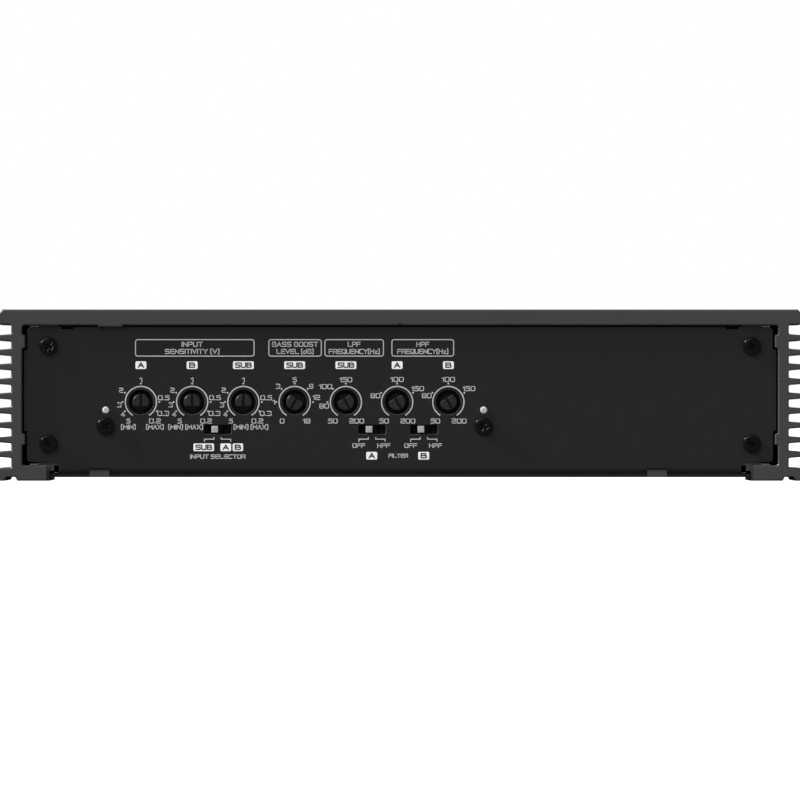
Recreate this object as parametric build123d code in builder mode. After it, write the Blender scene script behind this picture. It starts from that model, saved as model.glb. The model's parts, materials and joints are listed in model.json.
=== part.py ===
from build123d import *
import os

os.makedirs("parts", exist_ok=True)

# A car amplifier. Millimetres, +X to the right and +Z up as seen from the control end,
# which faces -Y. The origin is under the middle of the heatsink, on the surface it stands on.

# ---------------------------------------------------------------- driving dimensions
# Heatsink extrusion
half_width = 141.5
half_length = 111.0
height = 60.0
top_chamfer = 2.3
bottom_chamfer = 1.4
wall_inside = 132.3
fin_root = 136.1
ceiling = 54.55
foot_inside = 122.85
foot_top = 5.44
slab_top = 4.6
roof_underside = 54.7
step_outside = 123.8
step_depth = 2.6
fin_count = 9
fin_pitch = 5.103
first_fin = 9.27
fin_root_thickness = 2.72
fin_tip_thickness = 1.75
fin_root_radius = 0.5
end_bevel = 0.45
post_inside = 119.5
post_outside = 126.6

# Sheet metal
sheet = 1.2
control_face = -109.0
terminal_face = 99.0
bend_start = 4.6
flange_bottom = 2.5
bend_depth = 2.1
lug_top = 3.8
lug_front = -110.9
lug_columns = (-105.2, 90.0)
lug_width = 6.9
flange_reach = 14.0
plate_bottom = 1.28
plate_half_width = 122.6

# Fasteners
screw_hole = 3.3
tapped_hole = 2.7
thread_core = 2.5
panel_screw_head = 6.2
flush_head = 4.7
corner_x = 123.1
corner_heights = (13.1, 47.2)
bracket_screws_at = ((-103.1, 19.2), (29.2, 19.2))
bracket_pins_at = ((-103.0, 24.8), (29.3, 24.8))
plate_screw_columns = (-98.0, 0.0, 98.0)
plate_screw_rows = (-101.0, 91.0)

# Controls: the seven rotary controls stand in one row, pointer angles clockwise from the top
pot_height = 27.6
pot_pitch = 17.94
first_pot = -90.7
pot_hole = 8.7
shaft_diameter = 5.9
shaft_across_flat = 4.45
shaft_slot = 0.85
shaft_names = (
    "input_a_shaft",
    "input_b_shaft",
    "input_sub_shaft",
    "bass_boost_shaft",
    "low_pass_shaft",
    "high_pass_a_shaft",
    "high_pass_b_shaft",
)
shaft_angles = (0, 0, 0, -150, 150, 150, 150)
switch_height = 18.05
switch_names = ("input_selector_slider", "filter_a_slider", "filter_b_slider")
switch_columns = (-63.85, -9.8, 8.35)
switch_slot = (9.6, 3.3)
slider_side = 2.3
slider_rest = -1.0

# Boards
board = 1.6
main_board_bottom = 7.5
main_board_top = main_board_bottom + board
main_board_span = (-94.0, 96.0)
control_board_front = -98.6

# Heat spreaders and the power devices clamped on them (right-hand side, mirrored to the left)
spreader_face = 113.0
spreader_span = (-84.0, 73.0)
device_pitch = 19.0
device_count = 8
first_device = -72.0
device_thickness = 4.5
pad_thickness = 0.3

# Rear connectors
rca_columns = (-108.0, -90.0, -72.0)
rca_rows = (20.0, 38.0)
rca_sleeve = 8.3
rca_pin = 3.2
speaker_pitch = 10.0
speaker_bays = 8
first_speaker_bay = -25.0
power_pitch = 14.0
power_bays = 3
first_power_bay = 83.7
terminal_bottom = main_board_top + 0.1
fuse_column = 64.0
fuse_rows = (16.0, 29.0)

# ---------------------------------------------------------------- derived places
control_back = control_face + sheet
component_front = control_board_front - 6.8
terminal_back = terminal_face - sheet
plate_top = plate_bottom + sheet
pot_columns = [first_pot + pot_pitch * i for i in range(len(shaft_names))]
corner_screws_at = [(side * corner_x, z) for side in (-1, 1) for z in corner_heights]
device_rows = [first_device + device_pitch * i for i in range(device_count)]
clamp_rows = [y + device_pitch / 2 for y in device_rows[:-1]]
spreader_screw_x = 109.6
spreader_screw_rows = (-70.0, -25.0, 20.0, 62.0)
speaker_columns = [first_speaker_bay + speaker_pitch * i for i in range(speaker_bays)]
power_columns = [first_power_bay + power_pitch * i for i in range(power_bays)]

faces_front = (90, 0, 0)
faces_rear = (-90, 0, 0)
faces_down = (180, 0, 0)


def front_plane(y):
    """A plane at Y = y with its x along +X, its y along +Z and its normal to the front."""
    return Plane.XZ.offset(-y)


def area(x0, x1, y0, y1, mode=Mode.ADD):
    """A rectangle between two corners of the sketch."""
    with Locations(((x0 + x1) / 2, (y0 + y1) / 2)):
        Rectangle(x1 - x0, y1 - y0, mode=mode)


def block(x0, x1, y0, y1, z0, z1, mode=Mode.ADD):
    """A box between two corners of the part."""
    with Locations(((x0 + x1) / 2, (y0 + y1) / 2, (z0 + z1) / 2)):
        Box(x1 - x0, y1 - y0, z1 - z0, mode=mode)


def rim_edges(part, y, x, z, reach):
    """The edges that lie at Y = y no further than reach from (x, z): the rim of one hole."""
    found = []
    for edge in part.edges():
        box = edge.bounding_box()
        flat = abs(box.min.Y - y) < 0.01 and abs(box.max.Y - y) < 0.01
        near_x = max(abs(box.min.X - x), abs(box.max.X - x)) < reach
        near_z = max(abs(box.min.Z - z), abs(box.max.Z - z)) < reach
        if flat and near_x and near_z:
            found.append(edge)
    return found


def pan_screw(head, head_height, core, length, recess, recess_rim=0.0):
    """A cross-recessed screw with its seat at Z = 0 and its head above it."""
    with BuildPart() as screw:
        with BuildSketch():
            Circle(head / 2)
        extrude(amount=head_height)
        fillet(screw.edges().sort_by(Axis.Z)[-1], head_height * 0.45)
        with BuildSketch(Plane.XY.offset(head_height)):
            Rectangle(recess, recess * 0.26)
            Rectangle(recess * 0.26, recess)
        extrude(amount=-head_height * 0.65, taper=10, mode=Mode.SUBTRACT)
        if recess_rim:
            top_edges = screw.edges().filter_by_position(Axis.Z, head_height - 0.01, head_height + 0.01)
            chamfer(top_edges.filter_by(GeomType.LINE), recess_rim)
        with BuildSketch():
            Circle(core / 2)
        extrude(amount=-length)
        chamfer(screw.edges().sort_by(Axis.Z)[0], core * 0.15)
    return screw.part


def driven(spots, y, facing):
    """Places of screws on a panel, each turned as far as it happened to stop when driven in."""
    places = []
    for index, (x, z) in enumerate(spots):
        places.append(Location((x, y, z), facing) * Location((0, 0, 0), (0, 0, 37 + 23 * index)))
    return places


def flush_screw(head, core, length, recess):
    """A countersunk screw with the top of its head at Z = 0 and its shank below it."""
    head_depth = (head - core) / 2
    with BuildPart() as screw:
        with Locations((0, 0, -head_depth / 2)):
            Cone(core / 2, head / 2, head_depth)
        with BuildSketch():
            Circle(core / 2)
        extrude(amount=-length)
        chamfer(screw.edges().sort_by(Axis.Z)[0], core * 0.15)
        with BuildSketch():
            Rectangle(recess, recess * 0.26)
            Rectangle(recess * 0.26, recess)
        extrude(amount=-head_depth * 0.7, taper=10, mode=Mode.SUBTRACT)
    return screw.part


# ---------------------------------------------------------------- heatsink
# The right half of the section: skin, foot, fins and their root radii.
with BuildSketch() as half_section:
    with BuildLine():
        Polyline(
            (0, 0),
            (half_width - bottom_chamfer, 0),
            (half_width, bottom_chamfer),
            (half_width, height - top_chamfer),
            (half_width - top_chamfer, height),
            (0, height),
            close=True,
        )
    make_face()
    area(-1, wall_inside, foot_top, ceiling, mode=Mode.SUBTRACT)
    area(-1, foot_inside, -1, foot_top + 0.01, mode=Mode.SUBTRACT)
    with BuildLine():
        Polyline(
            (fin_root, slab_top),
            (half_width + 1, slab_top - 0.3),
            (half_width + 1, roof_underside + 0.2),
            (fin_root, roof_underside),
            close=True,
        )
    make_face(mode=Mode.SUBTRACT)
    for fin in range(fin_count):
        fin_z = first_fin + fin_pitch * fin
        root = fin_root_thickness / 2
        tip = fin_tip_thickness / 2
        with BuildLine():
            Polyline(
                (fin_root - 1, fin_z - root),
                (half_width, fin_z - tip),
                (half_width, fin_z + tip),
                (fin_root - 1, fin_z + root),
                close=True,
            )
        make_face()
    root_corners = [v for v in half_section.vertices() if abs(v.X - fin_root) < 0.01]
    fillet(root_corners, fin_root_radius)
    wall_corners = [v for v in half_section.vertices() if abs(v.X - wall_inside) < 0.01]
    fillet(wall_corners, 0.8)
    # Groove along the underside, and two low ribs along the inside of the wall
    with BuildLine():
        Polyline((133.9, -0.01), (134.7, 1.33), (137.8, 1.33), (138.5, -0.01), close=True)
    make_face(mode=Mode.SUBTRACT)
    for rib_low, rib_high in ((12.8, 16.3), (46.7, 50.9)):
        with BuildLine():
            Polyline(
                (wall_inside + 0.1, rib_low - 0.5),
                (wall_inside - 1.1, rib_low),
                (wall_inside - 1.1, rib_high),
                (wall_inside + 0.1, rib_high + 0.5),
                close=True,
            )
        make_face()

# The half section of the screw posts, which stop short of both ends to recess the panels.
with BuildSketch() as half_posts:
    area(post_inside, post_outside, foot_top, 16.3)
    area(121.1, foot_inside + 0.5, 3.5, foot_top + 0.5)
    area(post_inside, post_outside, 43.6, ceiling)
    free_corners = [v for v in half_posts.vertices() if 16 < v.Y < 44]
    fillet(free_corners, 1.0)
    area(post_inside - 1, 122.4, main_board_bottom - 0.1, main_board_top + 0.1, Mode.SUBTRACT)

with BuildPart() as heatsink:
    with BuildSketch(front_plane(half_length)):
        add(half_section.sketch)
        mirror(about=Plane.YZ)
        area(-105.8, -97.1, ceiling - 0.6, ceiling + 0.2)
        with BuildLine():
            Polyline((-0.5, ceiling - 0.01), (0, ceiling + 0.4), (0.5, ceiling - 0.01), close=True)
        make_face(mode=Mode.SUBTRACT)
    extrude(amount=2 * half_length)
    chamfer(heatsink.faces().sort_by(Axis.Y)[0].edges(), end_bevel)
    chamfer(heatsink.faces().sort_by(Axis.Y)[-1].edges(), end_bevel)
    # The inner edge of each foot is milled back at the control end
    for low_x, high_x in ((-step_outside, -foot_inside + 1), (foot_inside - 1, step_outside)):
        block(low_x, high_x, -half_length - 1, step_depth - half_length, -1, foot_top + 0.05, Mode.SUBTRACT)
    with BuildSketch(front_plane(terminal_back)):
        add(half_posts.sketch)
        mirror(about=Plane.YZ)
    extrude(amount=terminal_back - control_back)
    # Tapped holes for the panel screws, front and rear
    with BuildSketch(front_plane(control_back)):
        with Locations(*corner_screws_at):
            Circle(tapped_hole / 2)
    extrude(amount=-14, mode=Mode.SUBTRACT)
    with BuildSketch(front_plane(terminal_back)):
        with Locations(*corner_screws_at):
            Circle(tapped_hole / 2)
    extrude(amount=14, mode=Mode.SUBTRACT)
    # Mounting holes through the outer slab, with a screwdriver channel down through the fins
    with BuildSketch():
        with GridLocations(2 * 137.6, 170, 2, 2):
            Circle(2.2)
    extrude(amount=slab_top + 1, mode=Mode.SUBTRACT)
    with BuildSketch(Plane.XY.offset(slab_top)):
        with GridLocations(2 * 137.6, 170, 2, 2):
            Circle(4.1)
        with GridLocations(2 * 140.6, 170, 2, 2):
            Rectangle(6, 8.2)
    extrude(amount=height, mode=Mode.SUBTRACT)
    # Blind tapped holes in the top plate for the heat spreaders
    with BuildSketch(Plane.XY.offset(ceiling - 0.1)):
        with Locations(*[(side * spreader_screw_x, y) for side in (-1, 1) for y in spreader_screw_rows]):
            Circle(tapped_hole / 2)
    extrude(amount=4.1, mode=Mode.SUBTRACT)
heatsink.part.label = "heatsink"
export_step(heatsink.part, "parts/heatsink.step")

# ---------------------------------------------------------------- sheet-metal panels
def folded_flange(depth):
    """The lower edge of a panel whose face is at Y = 0: a sloping bend of that depth and a flange."""
    inner = sheet * (2**0.5 - 1)
    with BuildPart() as flange:
        with BuildSketch(Plane.YZ.offset(-post_inside)):
            with BuildLine():
                Polyline(
                    (0, flange_bottom + depth + inner + sheet),
                    (0, flange_bottom + depth),
                    (depth, flange_bottom),
                    (flange_reach, flange_bottom),
                    (flange_reach, flange_bottom + sheet),
                    (depth + inner, flange_bottom + sheet),
                    (sheet, flange_bottom + depth + inner),
                    (sheet, flange_bottom + depth + inner + sheet),
                    close=True,
                )
            make_face()
        extrude(amount=2 * post_inside)
    return flange.part


# The control panel: a flat web with four tabs, and a flange bent to the back.
with BuildPart() as control_panel:
    with BuildSketch(front_plane(control_face)) as web:
        area(-131.7, 131.7, 17.5, 45.8)
        area(-130.5, 130.5, 45, 53.9)
        area(-130.6, 130.6, 6.6, 18)
        area(-post_inside, post_inside, flange_bottom + bend_depth, 7)
        tab_corners = [v for v in web.vertices() if abs(v.X) > 130 and not 7 < v.Y < 53]
        fillet(tab_corners, 1.4)
        for side in (-1, 1):
            notch = sorted((side * 114.2, side * 118.4))
            area(notch[0], notch[1], 53.0, 55.0, mode=Mode.SUBTRACT)
    extrude(amount=-sheet)
    front_edges = control_panel.faces().sort_by(Axis.Y)[0].edges()
    chamfer([edge for edge in front_edges if edge.center().Z > 7.5], 0.12)
    with Locations((0, control_face, 0)):
        add(folded_flange(bend_depth))
    with BuildSketch(front_plane(control_face)):
        with Locations(*corner_screws_at):
            Circle(screw_hole / 2)
        with Locations(*[(x, pot_height) for x in pot_columns]):
            Circle(pot_hole / 2)
        with Locations(*[(x, switch_height) for x in switch_columns]):
            RectangleRounded(switch_slot[0], switch_slot[1], 0.6)
        with Locations(*bracket_screws_at):
            Circle(screw_hole / 2)
        with Locations(*bracket_pins_at):
            Circle(1.45)
    extrude(amount=-sheet, mode=Mode.SUBTRACT)
    for x in pot_columns:
        chamfer(rim_edges(control_panel.part, control_face, x, pot_height, 6), 0.22)
    for x in switch_columns:
        chamfer(rim_edges(control_panel.part, control_face, x, switch_height, 6), 0.22)
    with BuildSketch(Plane.XY.offset(flange_bottom)):
        with Locations(*[(x, plate_screw_rows[0]) for x in plate_screw_columns]):
            Circle(tapped_hole / 2)
    extrude(amount=sheet, mode=Mode.SUBTRACT)
control_panel.part.label = "control_panel"
export_step(control_panel.part, "parts/control_panel.step")

# The terminal panel closes its end of the extrusion, from wall to wall and from plate to ceiling.
with BuildPart() as terminal_panel:
    with BuildSketch(front_plane(terminal_back)):
        area(-131.0, 131.0, foot_top + 0.05, ceiling - 0.05)
        for low_z, high_z in ((6.3, 12.1), (17.0, 46.0), (51.6, 53.6)):
            area(-132.1, 132.1, low_z, high_z)
        for side in (-1, 1):
            foot_web = sorted((side * (post_inside - 0.1), side * (foot_inside - 0.05)))
            area(foot_web[0], foot_web[1], plate_top + 0.05, 7)
        area(-106.1, -96.8, 53.85, 55, mode=Mode.SUBTRACT)
    extrude(amount=-sheet)
    with Locations(Location((0, terminal_face, 0), (0, 0, 180))):
        add(folded_flange(bend_depth))
    with BuildSketch(front_plane(terminal_back)):
        with Locations(*corner_screws_at):
            Circle(screw_hole / 2)
        with Locations(*[(x, z) for x in rca_columns for z in rca_rows]):
            Circle(rca_sleeve / 2 + 0.4)
        with Locations((-99.0, 29.0), (-81.0, 29.0)):
            Circle(screw_hole / 2)
        area(-56.2, -43.8, 11.8, 22.2)
        area(-57.2, -42.8, 26.8, 41.2)
        with Locations((-36.0, 38.0)):
            Circle(1.7)
        area(-31.2, 51.2, terminal_bottom - 0.2, 28.2)
        area(53.2, 74.8, terminal_bottom - 0.2, 37.2)
        area(76.3, 119.1, terminal_bottom - 0.2, 32.2)
    extrude(amount=-sheet, mode=Mode.SUBTRACT)
    with BuildSketch(Plane.XY.offset(flange_bottom)):
        with Locations(*[(x, plate_screw_rows[1]) for x in plate_screw_columns]):
            Circle(tapped_hole / 2)
    extrude(amount=sheet, mode=Mode.SUBTRACT)
terminal_panel.part.label = "terminal_panel"
export_step(terminal_panel.part, "parts/terminal_panel.step")

with BuildPart() as bottom_plate:
    block(-plate_half_width, plate_half_width, -109.2, 98.8, plate_bottom, plate_top)
    # Two lugs in front of the control panel's bend, hollowed towards their foot
    for lug_x in lug_columns:
        low_x = lug_x - lug_width / 2
        block(low_x, low_x + lug_width, -110, -108, plate_bottom, plate_top, mode=Mode.SUBTRACT)
        with BuildSketch(Plane.YZ.offset(low_x)):
            with BuildLine():
                Polyline(
                    (-109.35, lug_top),
                    (-109.1, lug_top),
                    (-109.1, plate_top),
                    (-107.9, plate_top),
                    (-107.9, plate_bottom),
                    (lug_front, plate_bottom),
                    (lug_front, plate_bottom + 0.3),
                )
                ThreePointArc((lug_front, plate_bottom + 0.3), (-109.85, 2.35), (-109.35, lug_top))
            make_face()
        extrude(amount=lug_width)
    with BuildSketch(Plane.XY.offset(plate_bottom)):
        with Locations(*[(x, y) for x in plate_screw_columns for y in plate_screw_rows]):
            Circle(screw_hole / 2)
    extrude(amount=sheet, mode=Mode.SUBTRACT)
    sink = (flush_head - screw_hole) / 2 + 0.1
    with Locations(*[(x, y, plate_bottom + sink / 2) for x in plate_screw_columns for y in plate_screw_rows]):
        Cone(flush_head / 2 + 0.1, screw_hole / 2, sink, mode=Mode.SUBTRACT)
bottom_plate.part.label = "bottom_plate"
export_step(bottom_plate.part, "parts/bottom_plate.step")

# ---------------------------------------------------------------- outside screws
panel_screw = pan_screw(panel_screw_head, 1.9, thread_core, 10, 3.2, recess_rim=0.22)
plate_screw = flush_screw(flush_head, thread_core, 5, 2.6)

with BuildPart() as control_panel_screws:
    with Locations(*driven(corner_screws_at, control_face, faces_front)):
        add(panel_screw)
control_panel_screws.part.label = "control_panel_screws"
export_step(control_panel_screws.part, "parts/control_panel_screws.step")

with BuildPart() as control_bracket_screws:
    with Locations(*driven(bracket_screws_at, control_face, faces_front)):
        add(pan_screw(panel_screw_head, 1.9, thread_core, 7, 3.2, recess_rim=0.22))
control_bracket_screws.part.label = "control_bracket_screws"
export_step(control_bracket_screws.part, "parts/control_bracket_screws.step")

with BuildPart() as terminal_panel_screws:
    with Locations(*driven(corner_screws_at, terminal_face, faces_rear)):
        add(panel_screw)
    with Locations(*[Location((x, terminal_face, 29.0), faces_rear) for x in (-99.0, -81.0)]):
        add(panel_screw)
terminal_panel_screws.part.label = "terminal_panel_screws"
export_step(terminal_panel_screws.part, "parts/terminal_panel_screws.step")

with BuildPart() as bottom_plate_screws:
    spots = [(x, y, plate_bottom) for x in plate_screw_columns for y in plate_screw_rows]
    with Locations(*[Location(spot, faces_down) for spot in spots]):
        add(plate_screw)
bottom_plate_screws.part.label = "bottom_plate_screws"
export_step(bottom_plate_screws.part, "parts/bottom_plate_screws.step")

# A black foam strip closes the gap between the control panel and the ceiling.
with BuildPart() as foam_strip:
    block(-119.2, 119.2, control_back + 0.1, control_back + 4.6, 53.0, ceiling - 0.05)
    block(-106.1, -96.8, control_back, control_back + 5, 53.85, ceiling, mode=Mode.SUBTRACT)
foam_strip.part.label = "foam_strip"
export_step(foam_strip.part, "parts/foam_strip.step")

# ---------------------------------------------------------------- control assembly
with BuildPart() as control_bracket:
    # Two end blocks joined by a rail above the rotary controls and one below the switches
    for end_x in (-103.0, 29.2):
        block(end_x - 4, end_x + 4, control_back + 0.1, control_board_front, 10.5, 39)
    block(-107, 33.2, control_back + 0.1, control_back + 3, 10.5, 13.5)
    block(-107, 33.2, control_back + 0.1, control_back + 3, 36, 39)
    with BuildSketch(front_plane(control_back + 0.1)):
        with Locations(*bracket_pins_at):
            Circle(1.2)
    extrude(amount=1.9)
    fillet(control_bracket.faces().group_by(Axis.Y)[0].edges(), 0.55)
    with BuildSketch(front_plane(control_face - 0.6)):
        with Locations(*bracket_pins_at):
            Circle(0.28)
    extrude(amount=-0.5, mode=Mode.SUBTRACT)
    with BuildSketch(front_plane(control_back + 0.1)):
        with Locations(*bracket_screws_at):
            Circle(tapped_hole / 2)
    extrude(amount=-6.5, mode=Mode.SUBTRACT)
control_bracket.part.label = "control_bracket"
export_step(control_bracket.part, "parts/control_bracket.step")

with BuildPart() as control_board:
    block(-110, 37, control_board_front, control_board_front + board, 10, 45)
control_board.part.label = "control_board"
export_step(control_board.part, "parts/control_board.step")

with BuildPart() as pot_bodies:
    with BuildSketch(front_plane(component_front)):
        with Locations(*[(x, pot_height) for x in pot_columns]):
            RectangleRounded(9.8, 11.4, 0.6)
    extrude(amount=-6.6)
    with BuildSketch(front_plane(component_front)):
        with Locations(*[(x, pot_height) for x in pot_columns]):
            Circle(shaft_diameter / 2 + 0.1)
    extrude(amount=-5.9, mode=Mode.SUBTRACT)
pot_bodies.part.label = "pot_bodies"
export_step(pot_bodies.part, "parts/pot_bodies.step")

# One shaft on the Y axis, its pointer up: a flat below the axis and a slot across the end.
with BuildPart() as shaft_blank:
    with BuildSketch(front_plane(control_face - 0.2)):
        Circle(shaft_diameter / 2)
    extrude(amount=-9.5)
    chamfer(shaft_blank.edges().sort_by(Axis.Y)[0], 0.4)
    flat_z = shaft_diameter / 2 - shaft_across_flat
    block(-4, 4, control_face - 1, control_face + 3.2, -4, flat_z, mode=Mode.SUBTRACT)
    flat_edges = shaft_blank.edges().filter_by(Axis.X).group_by(Axis.Y)[0]
    chamfer(flat_edges, 0.3)
    half_slot = shaft_slot / 2
    block(-half_slot, half_slot, control_face - 1, control_face + 1.1, -4, 4, mode=Mode.SUBTRACT)

for shaft_name, shaft_x, shaft_angle in zip(shaft_names, pot_columns, shaft_angles):
    with BuildPart() as shaft:
        with Locations(Location((shaft_x, 0, pot_height), (0, shaft_angle, 0))):
            add(shaft_blank.part)
    shaft.part.label = shaft_name
    export_step(shaft.part, f"parts/{shaft_name}.step")

with BuildPart() as switch_housings:
    for switch_x in switch_columns:
        low_y = component_front
        block(switch_x - 6, switch_x + 6, low_y, low_y + 6.6, switch_height - 3, switch_height + 3)
        # Window for the slider's stem, and the wider channel that its base runs in
        block(
            switch_x - 2.4,
            switch_x + 2.4,
            low_y,
            low_y + 5,
            switch_height - 1.35,
            switch_height + 1.35,
            mode=Mode.SUBTRACT,
        )
        block(
            switch_x - 4.1,
            switch_x + 4.1,
            low_y + 1.4,
            low_y + 3.0,
            switch_height - 2.1,
            switch_height + 2.1,
            mode=Mode.SUBTRACT,
        )
switch_housings.part.label = "switch_housings"
export_step(switch_housings.part, "parts/switch_housings.step")

for switch_name, switch_x in zip(switch_names, switch_columns):
    with BuildPart() as slider:
        slider_x = switch_x + slider_rest
        half_stem = slider_side / 2
        with BuildSketch(front_plane(control_face - 0.7)):
            with Locations((slider_x, switch_height)):
                Rectangle(slider_side, slider_side)
        extrude(amount=-8.2)
        chamfer(slider.faces().sort_by(Axis.Y)[0].edges(), 0.2)
        base_y = component_front + 1.6
        block(
            slider_x - 2.9,
            slider_x + 2.9,
            base_y,
            base_y + 1.2,
            switch_height - 1.9,
            switch_height + 1.9,
        )
    slider.part.label = switch_name
    export_step(slider.part, f"parts/{switch_name}.step")

with BuildPart() as control_chips:
    back = control_board_front + board
    for chip in range(7):
        chip_x = -85 + 18 * chip
        block(chip_x - 2.5, chip_x + 2.5, back, back + 1.6, 26, 30)
        block(chip_x - 3.2, chip_x + 3.2, back, back + 0.4, 26.4, 29.6)
control_chips.part.label = "control_chips"
export_step(control_chips.part, "parts/control_chips.step")

with BuildPart() as board_connector:
    connector_y = control_board_front + board
    block(-45, 5, connector_y, connector_y + 10, main_board_top, main_board_top + 6)
    for pin in range(18):
        pin_x = -43.5 + 2.75 * pin
        block(pin_x, pin_x + 0.6, connector_y + 8, connector_y + 11.5, main_board_top, main_board_top + 0.6)
board_connector.part.label = "board_connector"
export_step(board_connector.part, "parts/board_connector.step")

# ---------------------------------------------------------------- main board and what stands on it
with BuildPart() as main_board:
    low_y, high_y = main_board_span
    block(-122.2, 122.2, low_y, high_y, main_board_bottom, main_board_top)
main_board.part.label = "main_board"
export_step(main_board.part, "parts/main_board.step")

with BuildPart() as insulation_sheet:
    block(-120, 120, -93, 83, plate_top, plate_top + 0.4)
insulation_sheet.part.label = "insulation_sheet"
export_step(insulation_sheet.part, "parts/insulation_sheet.step")

with BuildPart() as right_heat_spreader:
    low_y, high_y = spreader_span
    block(spreader_face, 118, low_y, high_y, 14, ceiling - 0.05)
    block(98, 118, low_y, high_y, 49.5, ceiling - 0.05)
    # Relief over the low rib that runs along the ceiling
    block(96, 106.3, low_y, high_y, ceiling - 0.8, ceiling, mode=Mode.SUBTRACT)
    with BuildSketch(Plane.YZ.offset(spreader_face)):
        with Locations(*[(y, 22.5) for y in clamp_rows]):
            Circle(tapped_hole / 2)
    extrude(amount=4.5, mode=Mode.SUBTRACT)
    with BuildSketch(Plane.XY.offset(49.5)):
        with Locations(*[(spreader_screw_x, y) for y in spreader_screw_rows]):
            Circle(screw_hole / 2)
    extrude(amount=6, mode=Mode.SUBTRACT)
right_heat_spreader.part.label = "right_heat_spreader"
export_step(right_heat_spreader.part, "parts/right_heat_spreader.step")

with BuildPart() as left_heat_spreader:
    mirror(right_heat_spreader.part, about=Plane.YZ)
left_heat_spreader.part.label = "left_heat_spreader"
export_step(left_heat_spreader.part, "parts/left_heat_spreader.step")

with BuildPart() as heat_spreader_screws:
    spots = [(side * spreader_screw_x, y, 49.5) for side in (-1, 1) for y in spreader_screw_rows]
    with Locations(*[Location(spot, faces_down) for spot in spots]):
        add(pan_screw(5.6, 2.2, thread_core, 8.5, 3.0))
heat_spreader_screws.part.label = "heat_spreader_screws"
export_step(heat_spreader_screws.part, "parts/heat_spreader_screws.step")

# A power transistor standing on its leads, its tab to the heat spreader on the right
with BuildPart() as transistor:
    back_x = spreader_face - pad_thickness
    block(back_x - device_thickness, back_x - 1.3, -5.1, 5.1, 18, 27.2)
    block(back_x - 1.3, back_x, -5.1, 5.1, 18.5, 33.6)
    for lead_y in (-2.54, 0, 2.54):
        block(back_x - 2.9, back_x - 2.4, lead_y - 0.4, lead_y + 0.4, main_board_top, 18)

with BuildPart() as supply_transistors:
    with Locations(*[(0, y, 0) for y in device_rows]):
        add(transistor.part)
supply_transistors.part.label = "supply_transistors"
export_step(supply_transistors.part, "parts/supply_transistors.step")

with BuildPart() as output_transistors:
    mirror(supply_transistors.part, about=Plane.YZ)
output_transistors.part.label = "output_transistors"
export_step(output_transistors.part, "parts/output_transistors.step")

with BuildPart() as insulating_pads:
    for y in device_rows:
        block(spreader_face - pad_thickness, spreader_face, y - 6, y + 6, 17.5, 35)
    mirror(about=Plane.YZ)
insulating_pads.part.label = "insulating_pads"
export_step(insulating_pads.part, "parts/insulating_pads.step")

with BuildPart() as clamp_bars:
    bar_back = spreader_face - pad_thickness - device_thickness
    block(bar_back - 2, bar_back, device_rows[0] - 5, device_rows[-1] + 5, 20, 25)
    with BuildSketch(Plane.YZ.offset(bar_back - 2)):
        with Locations(*[(y, 22.5) for y in clamp_rows]):
            Circle(screw_hole / 2)
    extrude(amount=2, mode=Mode.SUBTRACT)
    mirror(about=Plane.YZ)
clamp_bars.part.label = "clamp_bars"
export_step(clamp_bars.part, "parts/clamp_bars.step")

with BuildPart() as clamp_screws:
    head_seat = spreader_face - pad_thickness - device_thickness - 2
    with Locations(*[Location((head_seat, y, 22.5), (0, -90, 0)) for y in clamp_rows]):
        add(pan_screw(5.6, 2.2, thread_core, 10, 3.0))
    mirror(about=Plane.YZ)
clamp_screws.part.label = "clamp_screws"
export_step(clamp_screws.part, "parts/clamp_screws.step")


def ring_core(inner, outer, low, high):
    """A ferrite ring standing flat between two heights."""
    with BuildPart() as core:
        with BuildSketch(Plane.XY.offset(low)):
            Circle(outer)
            Circle(inner, mode=Mode.SUBTRACT)
        extrude(amount=high - low)
    return core.part


def ring_winding(inner, outer, low, high, wire, turns):
    """Turns of wire round a ring core, one closed loop for each turn."""
    with BuildPart() as winding:
        with PolarLocations(0, turns):
            with Locations(((inner + outer) / 2, 0, (low + high) / 2)):
                Box(outer - inner + 2 * wire, wire, high - low + 2 * wire)
                Box(outer - inner, wire, high - low, mode=Mode.SUBTRACT)
    return winding.part


inductors_at = [(-20.0, y, 0) for y in (-66.0, -33.0, 0.0, 33.0)] + [(88.0, 64.0, 0)]
winding_low = main_board_top + 0.1

with BuildPart() as transformer_core:
    with Locations((55, -8, 0)):
        add(ring_core(12, 20, winding_low + 2.2, winding_low + 19.8))
transformer_core.part.label = "transformer_core"
export_step(transformer_core.part, "parts/transformer_core.step")

with BuildPart() as transformer_winding:
    with Locations((55, -8, 0)):
        add(ring_winding(11.8, 20.2, winding_low + 2, winding_low + 20, 2.0, 28))
transformer_winding.part.label = "transformer_winding"
export_step(transformer_winding.part, "parts/transformer_winding.step")

with BuildPart() as inductor_cores:
    with Locations(*inductors_at):
        add(ring_core(6.2, 11, winding_low + 1.7, winding_low + 10.3))
inductor_cores.part.label = "inductor_cores"
export_step(inductor_cores.part, "parts/inductor_cores.step")

with BuildPart() as inductor_windings:
    with Locations(*inductors_at):
        add(ring_winding(6, 11.2, winding_low + 1.5, winding_low + 10.5, 1.4, 16))
inductor_windings.part.label = "inductor_windings"
export_step(inductor_windings.part, "parts/inductor_windings.step")


def standing_cans(spots, diameter, tall):
    """Electrolytic capacitors on the main board, with the groove of the crimp near the foot."""
    with BuildPart() as cans:
        with BuildSketch(Plane.XY.offset(main_board_top)):
            with Locations(*spots):
                Circle(diameter / 2)
        extrude(amount=tall)
        fillet(cans.faces().sort_by(Axis.Z)[-len(spots):].edges(), diameter * 0.05)
        with BuildSketch(Plane.XY.offset(main_board_top + tall * 0.09)):
            with Locations(*spots):
                Circle(diameter / 2 + 1)
                Circle(diameter / 2 - diameter * 0.03, mode=Mode.SUBTRACT)
        extrude(amount=tall * 0.03, mode=Mode.SUBTRACT)
    return cans.part


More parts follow.
